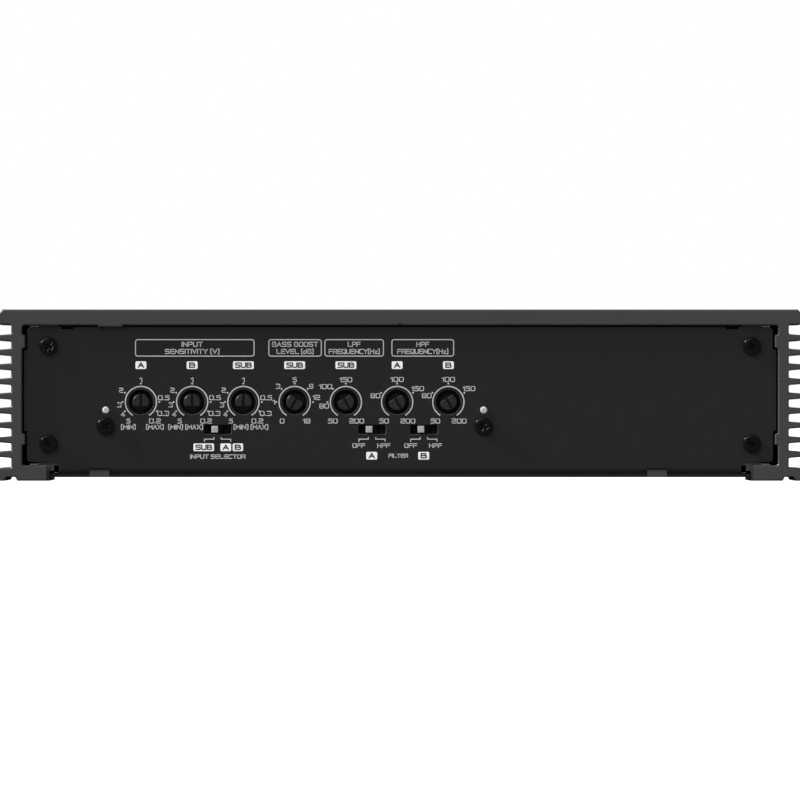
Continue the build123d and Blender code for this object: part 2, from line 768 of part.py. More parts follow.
with BuildPart() as supply_capacitors:
    add(standing_cans([(28, -64), (55, -64), (82, -64)], 22, 34))
supply_capacitors.part.label = "supply_capacitors"
export_step(supply_capacitors.part, "parts/supply_capacitors.step")

with BuildPart() as rail_capacitors:
    add(standing_cans([(10, 42), (32, 42), (54, 42), (10, 64), (32, 64), (54, 64)], 18, 32))
rail_capacitors.part.label = "rail_capacitors"
export_step(rail_capacitors.part, "parts/rail_capacitors.step")

with BuildPart() as signal_capacitors:
    signal_spots = [(-96.0 + 8 * i, -70 + 18.0 * j) for i in range(4) for j in range(7)]
    add(standing_cans(signal_spots, 6.3, 11))
signal_capacitors.part.label = "signal_capacitors"
export_step(signal_capacitors.part, "parts/signal_capacitors.step")

with BuildPart() as film_capacitors:
    for y in (-66, -33, 0, 33):
        block(-52, -40, y - 9, y + 9, main_board_top, main_board_top + 14)
film_capacitors.part.label = "film_capacitors"
export_step(film_capacitors.part, "parts/film_capacitors.step")

with BuildPart() as driver_board:
    block(-62.8, -61.2, -74, 50, main_board_top, 41)
driver_board.part.label = "driver_board"
export_step(driver_board.part, "parts/driver_board.step")

# ---------------------------------------------------------------- rear connectors
rca_at = [(x, z) for x in rca_columns for z in rca_rows]

with BuildPart() as rca_block:
    block(-117, -63, 82, terminal_back - 0.1, main_board_top, 47)
    with BuildSketch(front_plane(terminal_back - 0.1)):
        with Locations(*rca_at):
            Circle(rca_sleeve / 2 + 0.1)
    extrude(amount=6, mode=Mode.SUBTRACT)
    with BuildSketch(front_plane(terminal_back - 0.1)):
        with Locations((-99.0, 29.0), (-81.0, 29.0)):
            Circle(tapped_hole / 2)
    extrude(amount=11, mode=Mode.SUBTRACT)
rca_block.part.label = "rca_block"
export_step(rca_block.part, "parts/rca_block.step")

with BuildPart() as rca_sleeves:
    with BuildSketch(front_plane(108)):
        with Locations(*rca_at):
            Circle(rca_sleeve / 2)
            Circle(rca_sleeve / 2 - 0.4, mode=Mode.SUBTRACT)
    extrude(amount=16)
    # A shoulder that bears on the panel
    with BuildSketch(front_plane(terminal_face + 1)):
        with Locations(*rca_at):
            Circle(5.3)
            Circle(rca_sleeve / 2 - 0.2, mode=Mode.SUBTRACT)
    extrude(amount=0.9)
rca_sleeves.part.label = "rca_sleeves"
export_step(rca_sleeves.part, "parts/rca_sleeves.step")

with BuildPart() as rca_insulators:
    with BuildSketch(front_plane(106.8)):
        with Locations(*rca_at):
            Circle(rca_sleeve / 2 - 0.5)
            Circle(rca_pin / 2 + 0.65, mode=Mode.SUBTRACT)
    extrude(amount=14.6)
rca_insulators.part.label = "rca_insulators"
export_step(rca_insulators.part, "parts/rca_insulators.step")

with BuildPart() as rca_contacts:
    with BuildSketch(front_plane(106.2)):
        with Locations(*rca_at):
            Circle(rca_pin / 2 + 0.6)
            Circle(rca_pin / 2, mode=Mode.SUBTRACT)
    extrude(amount=14)
rca_contacts.part.label = "rca_contacts"
export_step(rca_contacts.part, "parts/rca_contacts.step")

with BuildPart() as speaker_level_socket:
    block(-56, -44, 84, 101.5, 12, 22)
    block(-54.8, -45.2, 90, 102, 13.2, 20.8, mode=Mode.SUBTRACT)
    block(-51, -49, 98, 102, 20, 23, mode=Mode.SUBTRACT)
    for pin_x in (-52.5, -47.5):
        for pin_z in (15.2, 18.8):
            block(pin_x - 0.4, pin_x + 0.4, 89.5, 95.5, pin_z - 0.4, pin_z + 0.4)
    block(-56, -44, 84, 90, main_board_top, 12.5)
speaker_level_socket.part.label = "speaker_level_socket"
export_step(speaker_level_socket.part, "parts/speaker_level_socket.step")

with BuildPart() as remote_jack:
    block(-57, -43, 84, 100, 27, 41)
    block(-55, -45, 88, 101, 31, 38.5, mode=Mode.SUBTRACT)
    block(-53, -47, 88, 101, 29.2, 31.1, mode=Mode.SUBTRACT)
    block(-51.5, -48.5, 88, 101, 28.2, 29.3, mode=Mode.SUBTRACT)
    block(-55, -45, 84, 87, 22, 27.5)
remote_jack.part.label = "remote_jack"
export_step(remote_jack.part, "parts/remote_jack.step")

with BuildPart() as power_led:
    with BuildSketch(front_plane(92)):
        with Locations((-36, 38)):
            Circle(1.5)
    extrude(amount=-7.2)
    fillet(power_led.edges().sort_by(Axis.Y)[-1], 1.45)
    for lead_x in (-37.0, -35.4):
        block(lead_x, lead_x + 0.4, 89.6, 92, 37.8, 38.2)
        block(lead_x, lead_x + 0.4, 89.6, 90, main_board_top, 38.2)
power_led.part.label = "power_led"
export_step(power_led.part, "parts/power_led.step")


def barrier_block(columns, wall, bay, top, face, floor, screw_z, hole):
    """A terminal block with one bay for each column, open to the rear and below."""
    low_x = columns[0] - bay / 2 - wall
    high_x = columns[-1] + bay / 2 + wall
    with BuildPart() as housing:
        block(low_x, high_x, 80, face, terminal_bottom, top)
        for x in columns:
            block(x - bay / 2, x + bay / 2, floor, face + 1, 0, top - 1.5, mode=Mode.SUBTRACT)
        with BuildSketch(front_plane(floor)):
            with Locations(*[(x, screw_z) for x in columns]):
                Circle(hole / 2)
        extrude(amount=11, mode=Mode.SUBTRACT)
    return housing.part


def clamp_plates(columns, wide, low, high, seat, thick, screw_z, hole):
    """The pressure plates of a terminal block, their lower edges turned up to grip a wire."""
    with BuildPart() as plates:
        for x in columns:
            block(x - wide / 2, x + wide / 2, seat, seat + thick, low, high)
            block(x - wide / 2, x + wide / 2, seat, seat + 2 * thick, low, low + thick * 0.6)
        with BuildSketch(front_plane(seat)):
            with Locations(*[(x, screw_z) for x in columns]):
                Circle(hole / 2)
        extrude(amount=-2 * thick, mode=Mode.SUBTRACT)
    return plates.part


speaker_floor = 99.5
speaker_screw_z = 20.3
power_floor = 98.5
power_screw_z = 23.2

with BuildPart() as speaker_terminal_block:
    add(barrier_block(speaker_columns, 1.6, 8.4, 28, 106, speaker_floor, speaker_screw_z, 3.5))
speaker_terminal_block.part.label = "speaker_terminal_block"
export_step(speaker_terminal_block.part, "parts/speaker_terminal_block.step")

with BuildPart() as speaker_terminal_plates:
    add(clamp_plates(speaker_columns, 7.8, 15.9, 25, speaker_floor, 0.9, speaker_screw_z, 3.9))
speaker_terminal_plates.part.label = "speaker_terminal_plates"
export_step(speaker_terminal_plates.part, "parts/speaker_terminal_plates.step")

with BuildPart() as speaker_terminal_screws:
    seat = speaker_floor + 0.9
    with Locations(*[Location((x, seat, speaker_screw_z), faces_rear) for x in speaker_columns]):
        add(pan_screw(6.6, 2.3, 3.3, 9, 3.6))
speaker_terminal_screws.part.label = "speaker_terminal_screws"
export_step(speaker_terminal_screws.part, "parts/speaker_terminal_screws.step")

with BuildPart() as power_terminal_block:
    add(barrier_block(power_columns, 1.0, 12.4, 32, 107.5, power_floor, power_screw_z, 4.5))
power_terminal_block.part.label = "power_terminal_block"
export_step(power_terminal_block.part, "parts/power_terminal_block.step")

with BuildPart() as power_terminal_plates:
    add(clamp_plates(power_columns, 11.6, 17.4, 29.8, power_floor, 1.4, power_screw_z, 5.0))
power_terminal_plates.part.label = "power_terminal_plates"
export_step(power_terminal_plates.part, "parts/power_terminal_plates.step")

with BuildPart() as power_terminal_screws:
    seat = power_floor + 1.4
    with Locations(*[Location((x, seat, power_screw_z), faces_rear) for x in power_columns]):
        add(pan_screw(9.0, 3.4, 4.3, 10, 5.0))
power_terminal_screws.part.label = "power_terminal_screws"
export_step(power_terminal_screws.part, "parts/power_terminal_screws.step")

blade_columns = (fuse_column - 7.0, fuse_column + 7.0)

with BuildPart() as fuse_holder:
    block(53.5, 74.5, 80, 99.6, terminal_bottom, 37)
    for row in fuse_rows:
        block(fuse_column - 9.9, fuse_column + 9.9, 96, 101, row - 2.9, row + 2.9, mode=Mode.SUBTRACT)
        for blade_x in blade_columns:
            block(blade_x - 2.8, blade_x + 2.8, 84, 97, row - 0.6, row + 0.6, mode=Mode.SUBTRACT)
fuse_holder.part.label = "fuse_holder"
export_step(fuse_holder.part, "parts/fuse_holder.step")

for fuse_name, row in zip(("lower_fuse", "upper_fuse"), fuse_rows):
    with BuildPart() as fuse:
        block(fuse_column - 9.6, fuse_column + 9.6, 96.3, 108.3, row - 2.6, row + 2.6)
        # Waist that the fingers hold, and the window over the link
        block(fuse_column - 9.7, fuse_column - 8.4, 101.5, 105.5, row - 3, row + 3, mode=Mode.SUBTRACT)
        block(fuse_column + 8.4, fuse_column + 9.7, 101.5, 105.5, row - 3, row + 3, mode=Mode.SUBTRACT)
        block(fuse_column - 4, fuse_column + 4, 107.5, 109, row - 1.2, row + 1.2, mode=Mode.SUBTRACT)
        for blade_x in blade_columns:
            block(blade_x - 2.6, blade_x + 2.6, 85, 97, row - 0.33, row + 0.33)
    fuse.part.label = fuse_name
    export_step(fuse.part, f"parts/{fuse_name}.step")
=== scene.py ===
# %% [markdown]
# # A car amplifier, seen from its control end
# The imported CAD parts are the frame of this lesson: an extruded heatsink, sheet-metal end panels,
# screws, rotary controls and slide switches. Blender adds what a drawing leaves out: the finish of
# each material, the screen print round the controls, the markings on the boards and the light.
# Everything is in metres, and every place is worked out from the boxes of the CAD nodes.

# %% Load the frame
import json
import math

import bmesh
import bpy
from mathutils import Matrix, Vector


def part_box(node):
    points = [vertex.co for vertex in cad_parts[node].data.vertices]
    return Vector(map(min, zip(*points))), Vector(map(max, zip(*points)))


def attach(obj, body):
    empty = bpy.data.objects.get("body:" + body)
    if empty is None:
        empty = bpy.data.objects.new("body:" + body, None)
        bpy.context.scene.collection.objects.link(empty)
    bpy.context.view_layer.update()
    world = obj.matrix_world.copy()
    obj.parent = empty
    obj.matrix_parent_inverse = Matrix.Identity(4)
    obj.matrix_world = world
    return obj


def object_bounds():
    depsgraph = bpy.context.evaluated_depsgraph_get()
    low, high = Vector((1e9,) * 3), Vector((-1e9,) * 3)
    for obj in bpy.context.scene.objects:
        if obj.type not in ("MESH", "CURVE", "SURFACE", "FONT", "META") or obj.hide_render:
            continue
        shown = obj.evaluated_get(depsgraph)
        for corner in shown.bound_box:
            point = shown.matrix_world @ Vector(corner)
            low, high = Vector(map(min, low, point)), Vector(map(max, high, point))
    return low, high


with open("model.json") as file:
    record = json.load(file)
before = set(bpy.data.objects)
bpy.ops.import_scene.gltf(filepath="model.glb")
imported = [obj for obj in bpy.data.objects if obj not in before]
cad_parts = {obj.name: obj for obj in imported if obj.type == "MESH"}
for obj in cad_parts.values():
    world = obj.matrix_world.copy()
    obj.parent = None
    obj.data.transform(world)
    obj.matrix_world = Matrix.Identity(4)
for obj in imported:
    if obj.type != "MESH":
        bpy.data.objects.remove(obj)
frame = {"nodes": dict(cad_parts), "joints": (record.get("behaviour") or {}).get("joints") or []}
nodes = frame["nodes"]
cad_low, cad_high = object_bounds()
MM = 0.001
print("CAD box in mm:", [round(v / MM, 1) for v in cad_high - cad_low], "nodes:", len(nodes))

# %% [markdown]
# ## Camera
# The end of the amplifier is looked at square on, from so far away that its sides vanish and the
# gaps between the fins are open to the light behind. A very long lens from about thirteen metres
# does that. The view is a little narrower than the heatsink, so both sides run out of it.

# %% Place the camera
SENSOR = 36 * MM
LENS = 1.65
VIEW_WIDTH = 280 * MM
AIM = Vector((0.0, cad_low.y, 28.3 * MM))

camera_data = bpy.data.cameras.new("camera")
camera_data.sensor_width = SENSOR / MM
camera_data.lens = LENS / MM
camera = bpy.data.objects.new("camera", camera_data)
bpy.context.scene.collection.objects.link(camera)
distance = VIEW_WIDTH * LENS / SENSOR
camera.location = AIM - Vector((0, distance, 0))
camera.rotation_euler = (math.radians(90), 0, 0)
camera_data.clip_start = 0.1
camera_data.clip_end = 100
bpy.context.scene.camera = camera
print("camera distance:", round(distance, 2), "m")

# %% [markdown]
# ## Floor and light
# A catalogue picture of a black box is lit by large soft lamps on a white sweep. The sweep here is
# a plain white floor under a white sky. The main lamp stands high on the left in front, a weak one
# fills from the right, another lights the rear, and one shines along the front face from the upper
# left: it leaves the face dark and draws a thin bright line on every bevelled edge that looks up or
# to the left.

# %% Make the floor
FLOOR_SIZE = 60.0
FLOOR_GLOW = 0.95
FLOOR_BOUNCE = (0.25, 0.25, 0.25)

floor_mesh = bmesh.new()
bmesh.ops.create_grid(floor_mesh, x_segments=1, y_segments=1, size=FLOOR_SIZE / 2)
floor_data = bpy.data.meshes.new("floor")
floor_mesh.to_mesh(floor_data)
floor_mesh.free()
floor = bpy.data.objects.new("floor", floor_data)
bpy.context.scene.collection.objects.link(floor)

floor_finish = bpy.data.materials.new("floor_white")
floor_finish.use_nodes = True
floor_shader = floor_finish.node_tree.nodes["Principled BSDF"]
floor_shader.inputs["Base Color"].default_value = (*FLOOR_BOUNCE, 1)
floor_shader.inputs["Roughness"].default_value = 0.9
floor_shader.inputs["Specular IOR Level"].default_value = 0.0
floor_shader.inputs["Emission Color"].default_value = (1, 1, 1, 1)
seen_directly = floor_finish.node_tree.nodes.new("ShaderNodeLightPath")
glow = floor_finish.node_tree.nodes.new("ShaderNodeMapRange")
glow.inputs["To Max"].default_value = FLOOR_GLOW
floor_finish.node_tree.links.new(seen_directly.outputs["Is Camera Ray"], glow.inputs["Value"])
floor_finish.node_tree.links.new(glow.outputs["Result"], floor_shader.inputs["Emission Strength"])
floor_data.materials.append(floor_finish)
print("floor:", FLOOR_SIZE, "m across")

# %% Make the sky and the lamps
SKY_SHOWN = 1.0
SKY_LIGHT = 0.32

world = bpy.data.worlds.new("studio")
bpy.context.scene.world = world
world.use_nodes = True
sky_tree = world.node_tree
sky = sky_tree.nodes["Background"]
sky.inputs["Color"].default_value = (1, 1, 1, 1)
ray_kind = sky_tree.nodes.new("ShaderNodeLightPath")
sky_strength = sky_tree.nodes.new("ShaderNodeMapRange")
sky_strength.inputs["To Min"].default_value = SKY_LIGHT
sky_strength.inputs["To Max"].default_value = SKY_SHOWN
sky_tree.links.new(ray_kind.outputs["Is Camera Ray"], sky_strength.inputs["Value"])
sky_tree.links.new(sky_strength.outputs["Result"], sky.inputs["Strength"])


def add_sun(name, strength, spread, towards):
    """A lamp so far away that it lights the whole object evenly, shining along a direction."""
    lamp_data = bpy.data.lights.new(name, "SUN")
    lamp_data.energy = strength
    lamp_data.angle = math.radians(spread)
    lamp = bpy.data.objects.new(name, lamp_data)
    lamp.rotation_euler = Vector(towards).to_track_quat("-Z", "Y").to_euler()
    bpy.context.scene.collection.objects.link(lamp)
    print(name, "lamp, strength", strength)


add_sun("key", strength=1.75, spread=50, towards=(0.5, 0.8, -0.7))
add_sun("fill", strength=0.16, spread=60, towards=(-0.8, 0.7, -0.5))
add_sun("back", strength=0.45, spread=60, towards=(-0.3, -0.8, -1.2))
add_sun("edge", strength=7.0, spread=12, towards=(1.0, 0.06, -0.75))

bpy.context.scene.view_settings.view_transform = "Standard"
bpy.context.scene.view_settings.look = "None"

# %% [markdown]
# ## Finishes
# Every finish is built from a few nodes on the Principled shader: noise for grain, a colour ramp
# to turn the grain into colour or roughness, and a bump for relief. The grain reads Object
# coordinates, which are metres here, so a scale of 2000 gives a grain about half a millimetre wide.

# %% Helpers for node trees


def new_finish(name, colour, roughness, metallic=0.0, specular=0.5):
    """A material with its plain values set, returned with its tree and shader."""
    finish = bpy.data.materials.new(name)
    finish.use_nodes = True
    shader = finish.node_tree.nodes["Principled BSDF"]
    shader.inputs["Base Color"].default_value = (*colour, 1)
    shader.inputs["Roughness"].default_value = roughness
    shader.inputs["Metallic"].default_value = metallic
    shader.inputs["Specular IOR Level"].default_value = specular
    return finish, finish.node_tree, shader


def place(tree, stretch=(1, 1, 1)):
    """Object coordinates, stretched along each axis."""
    coordinates = tree.nodes.new("ShaderNodeTexCoord")
    mapping = tree.nodes.new("ShaderNodeMapping")
    mapping.inputs["Scale"].default_value = stretch
    tree.links.new(coordinates.outputs["Object"], mapping.inputs["Vector"])
    return mapping.outputs["Vector"]


def grain(tree, where, scale, detail=4.0, roughness=0.6):
    """Noise between about 0.3 and 0.7."""
    noise = tree.nodes.new("ShaderNodeTexNoise")
    noise.inputs["Scale"].default_value = scale
    noise.inputs["Detail"].default_value = detail
    noise.inputs["Roughness"].default_value = roughness
    tree.links.new(where, noise.inputs["Vector"])
    return noise.outputs["Fac"]


def ramp(tree, value, stops):
    """Colours for values: stops is a list of (position, grey or colour)."""
    node = tree.nodes.new("ShaderNodeValToRGB")
    elements = node.color_ramp.elements
    while len(elements) < len(stops):
        elements.new(0.5)
    for element, (position, colour) in zip(elements, stops):
        element.position = position
        grey = isinstance(colour, (int, float))
        element.color = (colour, colour, colour, 1) if grey else (*colour, 1)
    tree.links.new(value, node.inputs["Fac"])
    return node.outputs["Color"]


def relief(tree, shader, height, strength, depth):
    """Bump from a height, with depth in metres."""
    bump = tree.nodes.new("ShaderNodeBump")
    bump.inputs["Strength"].default_value = strength
    bump.inputs["Distance"].default_value = depth
    tree.links.new(height, bump.inputs["Height"])
    tree.links.new(bump.outputs["Normal"], shader.inputs["Normal"])


def blend_colours(tree, factor, first, second):
    """Mixes two colours, each a socket or a plain colour, by a 0 to 1 socket."""
    mix = tree.nodes.new("ShaderNodeMix")
    mix.data_type = "RGBA"
    tree.links.new(factor, mix.inputs["Factor"])
    for socket, colour in ((mix.inputs["A"], first), (mix.inputs["B"], second)):
        if isinstance(colour, (tuple, list)):
            socket.default_value = (*colour, 1)
        else:
            tree.links.new(colour, socket)
    return mix.outputs["Result"]


def axis_value(tree, axis, kind="Object"):
    """One coordinate of the point, or one component of the surface normal."""
    coordinates = tree.nodes.new("ShaderNodeTexCoord")
    split = tree.nodes.new("ShaderNodeSeparateXYZ")
    tree.links.new(coordinates.outputs[kind], split.inputs["Vector"])
    return split.outputs[axis]


def compare(tree, operation, value, threshold):
    """A maths node with one plain number, such as GREATER_THAN."""
    node = tree.nodes.new("ShaderNodeMath")
    node.operation = operation
    node.inputs[1].default_value = threshold
    tree.links.new(value, node.inputs[0])
    return node.outputs["Value"]


def magnitude(tree, value):
    """The same number without its sign."""
    return compare(tree, "ABSOLUTE", value, 0)


def coat_nodes(finish, *names):
    """Gives CAD nodes this finish."""
    for name in names:
        slots = nodes[name].data.materials
        slots.clear()
        slots.append(finish)
    print(finish.name, "on", ", ".join(names))


BROADER = 12


def speckled(name, dark, light, scale, rough, metallic=0.0, specular=0.5, depth=0.00002, strength=0.4):
    """A finish whose roughness wanders with a fine grain and its colour with a broad one."""
    middle = tuple((a + b) / 2 for a, b in zip(dark, light))
    finish, tree, shader = new_finish(name, middle, sum(rough) / 2, metallic, specular)
    fine = grain(tree, place(tree), scale)
    broad = grain(tree, place(tree), scale / BROADER)
    tree.links.new(ramp(tree, broad, [(0.35, dark), (0.65, light)]), shader.inputs["Base Color"])
    tree.links.new(ramp(tree, fine, [(0.3, rough[0]), (0.7, rough[1])]), shader.inputs["Roughness"])
    relief(tree, shader, fine, strength, depth)
    return finish


# %% [markdown]
# ### Anodised heatsink
# The extrusion is dark grey anodised aluminium. Its skin carries faint lines along the way it was
# pushed through the die, and its sawn ends are a shade smoother. One material does both: noise
# stretched along Y for the skin, round grain for the ends, chosen by the normal.

# %% Finish: anodised aluminium
anodised, tree, shader = new_finish("anodised_aluminium", (0.04, 0.04, 0.04), 0.5, 0.2, 0.4)
die_lines = grain(tree, place(tree, (1, 0.01, 1)), 2600, 6)
etched = grain(tree, place(tree), 3000, 3)
patches = grain(tree, place(tree), 45, 3)
faces_end = compare(tree, "GREATER_THAN", magnitude(tree, axis_value(tree, "Y", "Normal")), 0.9)
skin_tone = ramp(tree, die_lines, [(0.3, 0.039), (0.7, 0.051)])
end_tone = ramp(tree, patches, [(0.3, 0.0395), (0.7, 0.0415)])
tree.links.new(blend_colours(tree, faces_end, skin_tone, end_tone), shader.inputs["Base Color"])
height = blend_colours(tree, faces_end, die_lines, etched)
tree.links.new(ramp(tree, etched, [(0.3, 0.42), (0.7, 0.55)]), shader.inputs["Roughness"])
relief(tree, shader, height, 0.25, 0.00001)
coat_nodes(anodised, "heatsink")

# %% [markdown]
# ### Powder-coated steel
# The panels are steel sheet with a fine matt black powder coat: almost no gloss, and a relief like
# very fine orange peel.

# %% Finishes: powder coat
def coated_sheet(name, face_tone, highlight_tone, is_highlit):
    """A matt coat with a painted highlight: a lighter tone wherever the mask is 1."""
    finish, tree, shader = new_finish(name, (face_tone,) * 3, 0.62, 0.0, 0.2)
    fine = grain(tree, place(tree), 2400)
    broad = grain(tree, place(tree), 200)
    face = ramp(tree, broad, [(0.35, face_tone * 0.93), (0.65, face_tone * 1.07)])
    edge = ramp(tree, fine, [(0.3, highlight_tone * 0.8), (0.7, highlight_tone * 1.2)])
    tree.links.new(blend_colours(tree, is_highlit(tree), face, edge), shader.inputs["Base Color"])
    tree.links.new(ramp(tree, fine, [(0.3, 0.55), (0.7, 0.72)]), shader.inputs["Roughness"])
    relief(tree, shader, fine, 0.4, 0.00002)
    return finish


def turns_away(tree):
    """1 where the surface does not face straight to the front or the rear."""
    return compare(tree, "LESS_THAN", magnitude(tree, axis_value(tree, "Y", "Normal")), 0.95)


LUG_DEPTH = 1.65 * MM
LUG_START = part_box("bottom_plate")[0].y + LUG_DEPTH


def is_lug(tree):
    """1 on the lugs that stand in front of the bottom plate's edge."""
    return compare(tree, "LESS_THAN", axis_value(tree, "Y"), LUG_START)


# Painted highlight: every surface that does not face the front or the rear, such as edges, hole rims and
# bends, is painted lighter.
panel_coat = coated_sheet("powder_coat_black", 0.0095, 0.036, turns_away)
coat_nodes(panel_coat, "control_panel", "terminal_panel")
# Painted highlight: the lugs in front of the bottom plate's edge are painted lighter, where they catch the
# light.
plate_coat = coated_sheet("powder_coat_plate", 0.0040, 0.023, is_lug)
coat_nodes(plate_coat, "bottom_plate")

# %% Finish: blackened screws
screw_black = speckled(
    "screw_black",
    (0.0015, 0.0015, 0.0015),
    (0.0035, 0.0035, 0.0035),
    scale=1500,
    rough=(0.12, 0.22),
    specular=0.12,
    depth=0.00004,
    strength=0.7,
)
coat_nodes(
    screw_black,
    "control_panel_screws",
    "control_bracket_screws",
    "terminal_panel_screws",
    "bottom_plate_screws",
)

# %% [markdown]
# ### Moulded parts
# The control shafts are a satin near-black, and the bodies behind them are painted darker still as painted
# shade. The slide switches' stems are pale. Their wide bases inside the housing, like the shafts behind the
# panel, are painted nearly black by depth as painted shade.

# %% Finishes: moulded plastics
white_moulding = speckled("white_moulding", (0.50, 0.50, 0.49), (0.58, 0.58, 0.56), 900, (0.4, 0.55))
coat_nodes(white_moulding, "control_bracket")
black_plastic = speckled("black_plastic", (0.006, 0.006, 0.006), (0.010, 0.010, 0.010), 1500, (0.4, 0.6))
coat_nodes(
    black_plastic,
    "control_chips",
    "board_connector",
    "rca_block",
    "speaker_level_socket",
    "remote_jack",
    "speaker_terminal_block",
    "power_terminal_block",
    "fuse_holder",
)
# Painted shade: the pot bodies and switch housings, deep in the panel's holes, are painted darker than the
# other black plastic.
shade_black_plastic = speckled(
    "shade_black_plastic", (0.0015, 0.0015, 0.0015), (0.0030, 0.0030, 0.0030), 1500, (0.5, 0.7), specular=0.15
)
coat_nodes(shade_black_plastic, "pot_bodies", "switch_housings")
foam = speckled(
    "foam", (0.002, 0.002, 0.002), (0.006, 0.006, 0.006), 1200, (0.85, 0.95), specular=0.1, depth=0.0002
)
coat_nodes(foam, "foam_strip")

# %% Finishes: shafts and sliders
def shade_painted_inside(name, dark, light, front, depth):
    """A plastic with painted shade: nearly black further back than a depth behind its front.

    The front is a place in the object's own coordinates, because a shaft's origin is its hinge.
    """
    finish, tree, shader = new_finish(name, light, 0.4, 0.0, 0.2)
    fine = grain(tree, place(tree), 1500)
    mottle = ramp(tree, fine, [(0.3, dark), (0.7, light)])
    deep = compare(tree, "GREATER_THAN", axis_value(tree, "Y"), front + depth)
    tree.links.new(blend_colours(tree, deep, mottle, PIT_SHADE), shader.inputs["Base Color"])
    tree.links.new(ramp(tree, fine, [(0.3, 0.32), (0.7, 0.48)]), shader.inputs["Roughness"])
    relief(tree, shader, fine, 0.4, 0.00002)
    return finish


PIT_SHADE = (0.002, 0.002, 0.002)
SLOT_DEPTH = 0.7 * MM
STEM_DEPTH = 3.4 * MM
shaft_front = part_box("input_a_shaft")[0].y - nodes["input_a_shaft"].matrix_world.translation.y
slider_front = (
    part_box("input_selector_slider")[0].y - nodes["input_selector_slider"].matrix_world.translation.y
)
# Painted shade: the shafts and the slider bases are painted nearly black where they lie deep in the holes
# and housings.
shaft_plastic = shade_painted_inside("shaft_plastic", (0.012,) * 3, (0.020,) * 3, shaft_front, SLOT_DEPTH)
coat_nodes(shaft_plastic, *[name for name in nodes if name.endswith("_shaft")])
slider_plastic = shade_painted_inside("slider_plastic", (0.34,) * 3, (0.40,) * 3, slider_front, STEM_DEPTH)
coat_nodes(slider_plastic, *[name for name in nodes if name.endswith("_slider")])

# %% [markdown]
# ### Metals
# Bright metal needs variation more than colour: brushed or milled metal gets noise stretched along
# the tool's direction, plated metal a faint cloudiness.


# %% Finishes: metals
def worked_metal(name, colour, rough, stretch, scale, depth=0.000008):
    """Bare or plated metal with marks stretched along one direction."""
    finish, tree, shader = new_finish(name, colour, sum(rough) / 2, 1.0)
    marks = grain(tree, place(tree, stretch), scale, 5)
    clouds = grain(tree, place(tree), 60, 3)
    dull = tuple(part * 0.8 for part in colour)
    tree.links.new(ramp(tree, clouds, [(0.35, dull), (0.65, colour)]), shader.inputs["Base Color"])
    tree.links.new(ramp(tree, marks, [(0.3, rough[0]), (0.7, rough[1])]), shader.inputs["Roughness"])
    relief(tree, shader, marks, 0.3, depth)
    return finish


milled = worked_metal("milled_aluminium", (0.72, 0.72, 0.73), (0.3, 0.5), (1, 0.02, 1), 2500)
coat_nodes(milled, "left_heat_spreader", "right_heat_spreader")
zinc = worked_metal("zinc_plate", (0.60, 0.61, 0.62), (0.25, 0.4), (1, 1, 1), 900)
coat_nodes(zinc, "heat_spreader_screws", "clamp_bars", "clamp_screws")
nickel = worked_metal("nickel_plate", (0.66, 0.64, 0.60), (0.15, 0.28), (1, 1, 1), 700)
coat_nodes(
    nickel,
    "rca_sleeves",
    "rca_contacts",
    "speaker_terminal_plates",
    "speaker_terminal_screws",
    "power_terminal_plates",
    "power_terminal_screws",
)
copper = worked_metal("enamelled_copper", (0.62, 0.24, 0.09), (0.2, 0.35), (1, 1, 0.1), 1200)
coat_nodes(copper, "transformer_winding", "inductor_windings")

# %% [markdown]
# ### Circuit boards and what stands on them
# The boards are green solder mask with paler tracks: the tracks come from a brick pattern whose
# mortar lines are bent by noise. Parts made of two materials are split by place: a transistor is
# metal where its tab and leads are, a capacitor is metal on top, a fuse is metal at its blades.

# %% Finishes: boards
board_finish, tree, shader = new_finish("circuit_board", (0.02, 0.11, 0.04), 0.35, 0.0, 0.5)
bricks = tree.nodes.new("ShaderNodeTexBrick")
bricks.inputs["Scale"].default_value = 120
bricks.inputs["Mortar Size"].default_value = 0.06
bricks.inputs["Color1"].default_value = (0.012, 0.075, 0.026, 1)
bricks.inputs["Color2"].default_value = (0.016, 0.095, 0.032, 1)
bricks.inputs["Mortar"].default_value = (0.05, 0.20, 0.075, 1)
wander = grain(tree, place(tree), 160, 2)
bent = tree.nodes.new("ShaderNodeVectorMath")
bent.operation = "MULTIPLY_ADD"
bent.inputs[1].default_value = (0.004, 0.004, 0.004)
tree.links.new(wander, bent.inputs[0])
tree.links.new(place(tree), bent.inputs[2])
tree.links.new(bent.outputs["Vector"], bricks.inputs["Vector"])
tree.links.new(bricks.outputs["Color"], shader.inputs["Base Color"])
relief(tree, shader, bricks.outputs["Fac"], 0.3, 0.00004)
coat_nodes(board_finish, "control_board", "main_board", "driver_board")


# %% Finishes: parts of two materials
def two_part(name, outer, inner, choice, rough=(0.35, 0.5), metal_outer=1.0, scale=1500):
    """A finish that is one colour and metallic where choice is 1, and plain plastic elsewhere."""
    finish, tree, shader = new_finish(name, inner, rough[1], 0.0)
    chosen = choice(tree)
    fine = grain(tree, place(tree), scale)
    inner_tone = ramp(tree, fine, [(0.3, tuple(c * 0.85 for c in inner)), (0.7, inner)])
    outer_tone = ramp(tree, fine, [(0.3, tuple(c * 0.85 for c in outer)), (0.7, outer)])
    tree.links.new(blend_colours(tree, chosen, inner_tone, outer_tone), shader.inputs["Base Color"])
    metal = compare(tree, "MULTIPLY", chosen, metal_outer)
    tree.links.new(metal, shader.inputs["Metallic"])
    tree.links.new(ramp(tree, fine, [(0.3, rough[0]), (0.7, rough[1])]), shader.inputs["Roughness"])
    relief(tree, shader, fine, 0.3, 0.00001)
    return finish


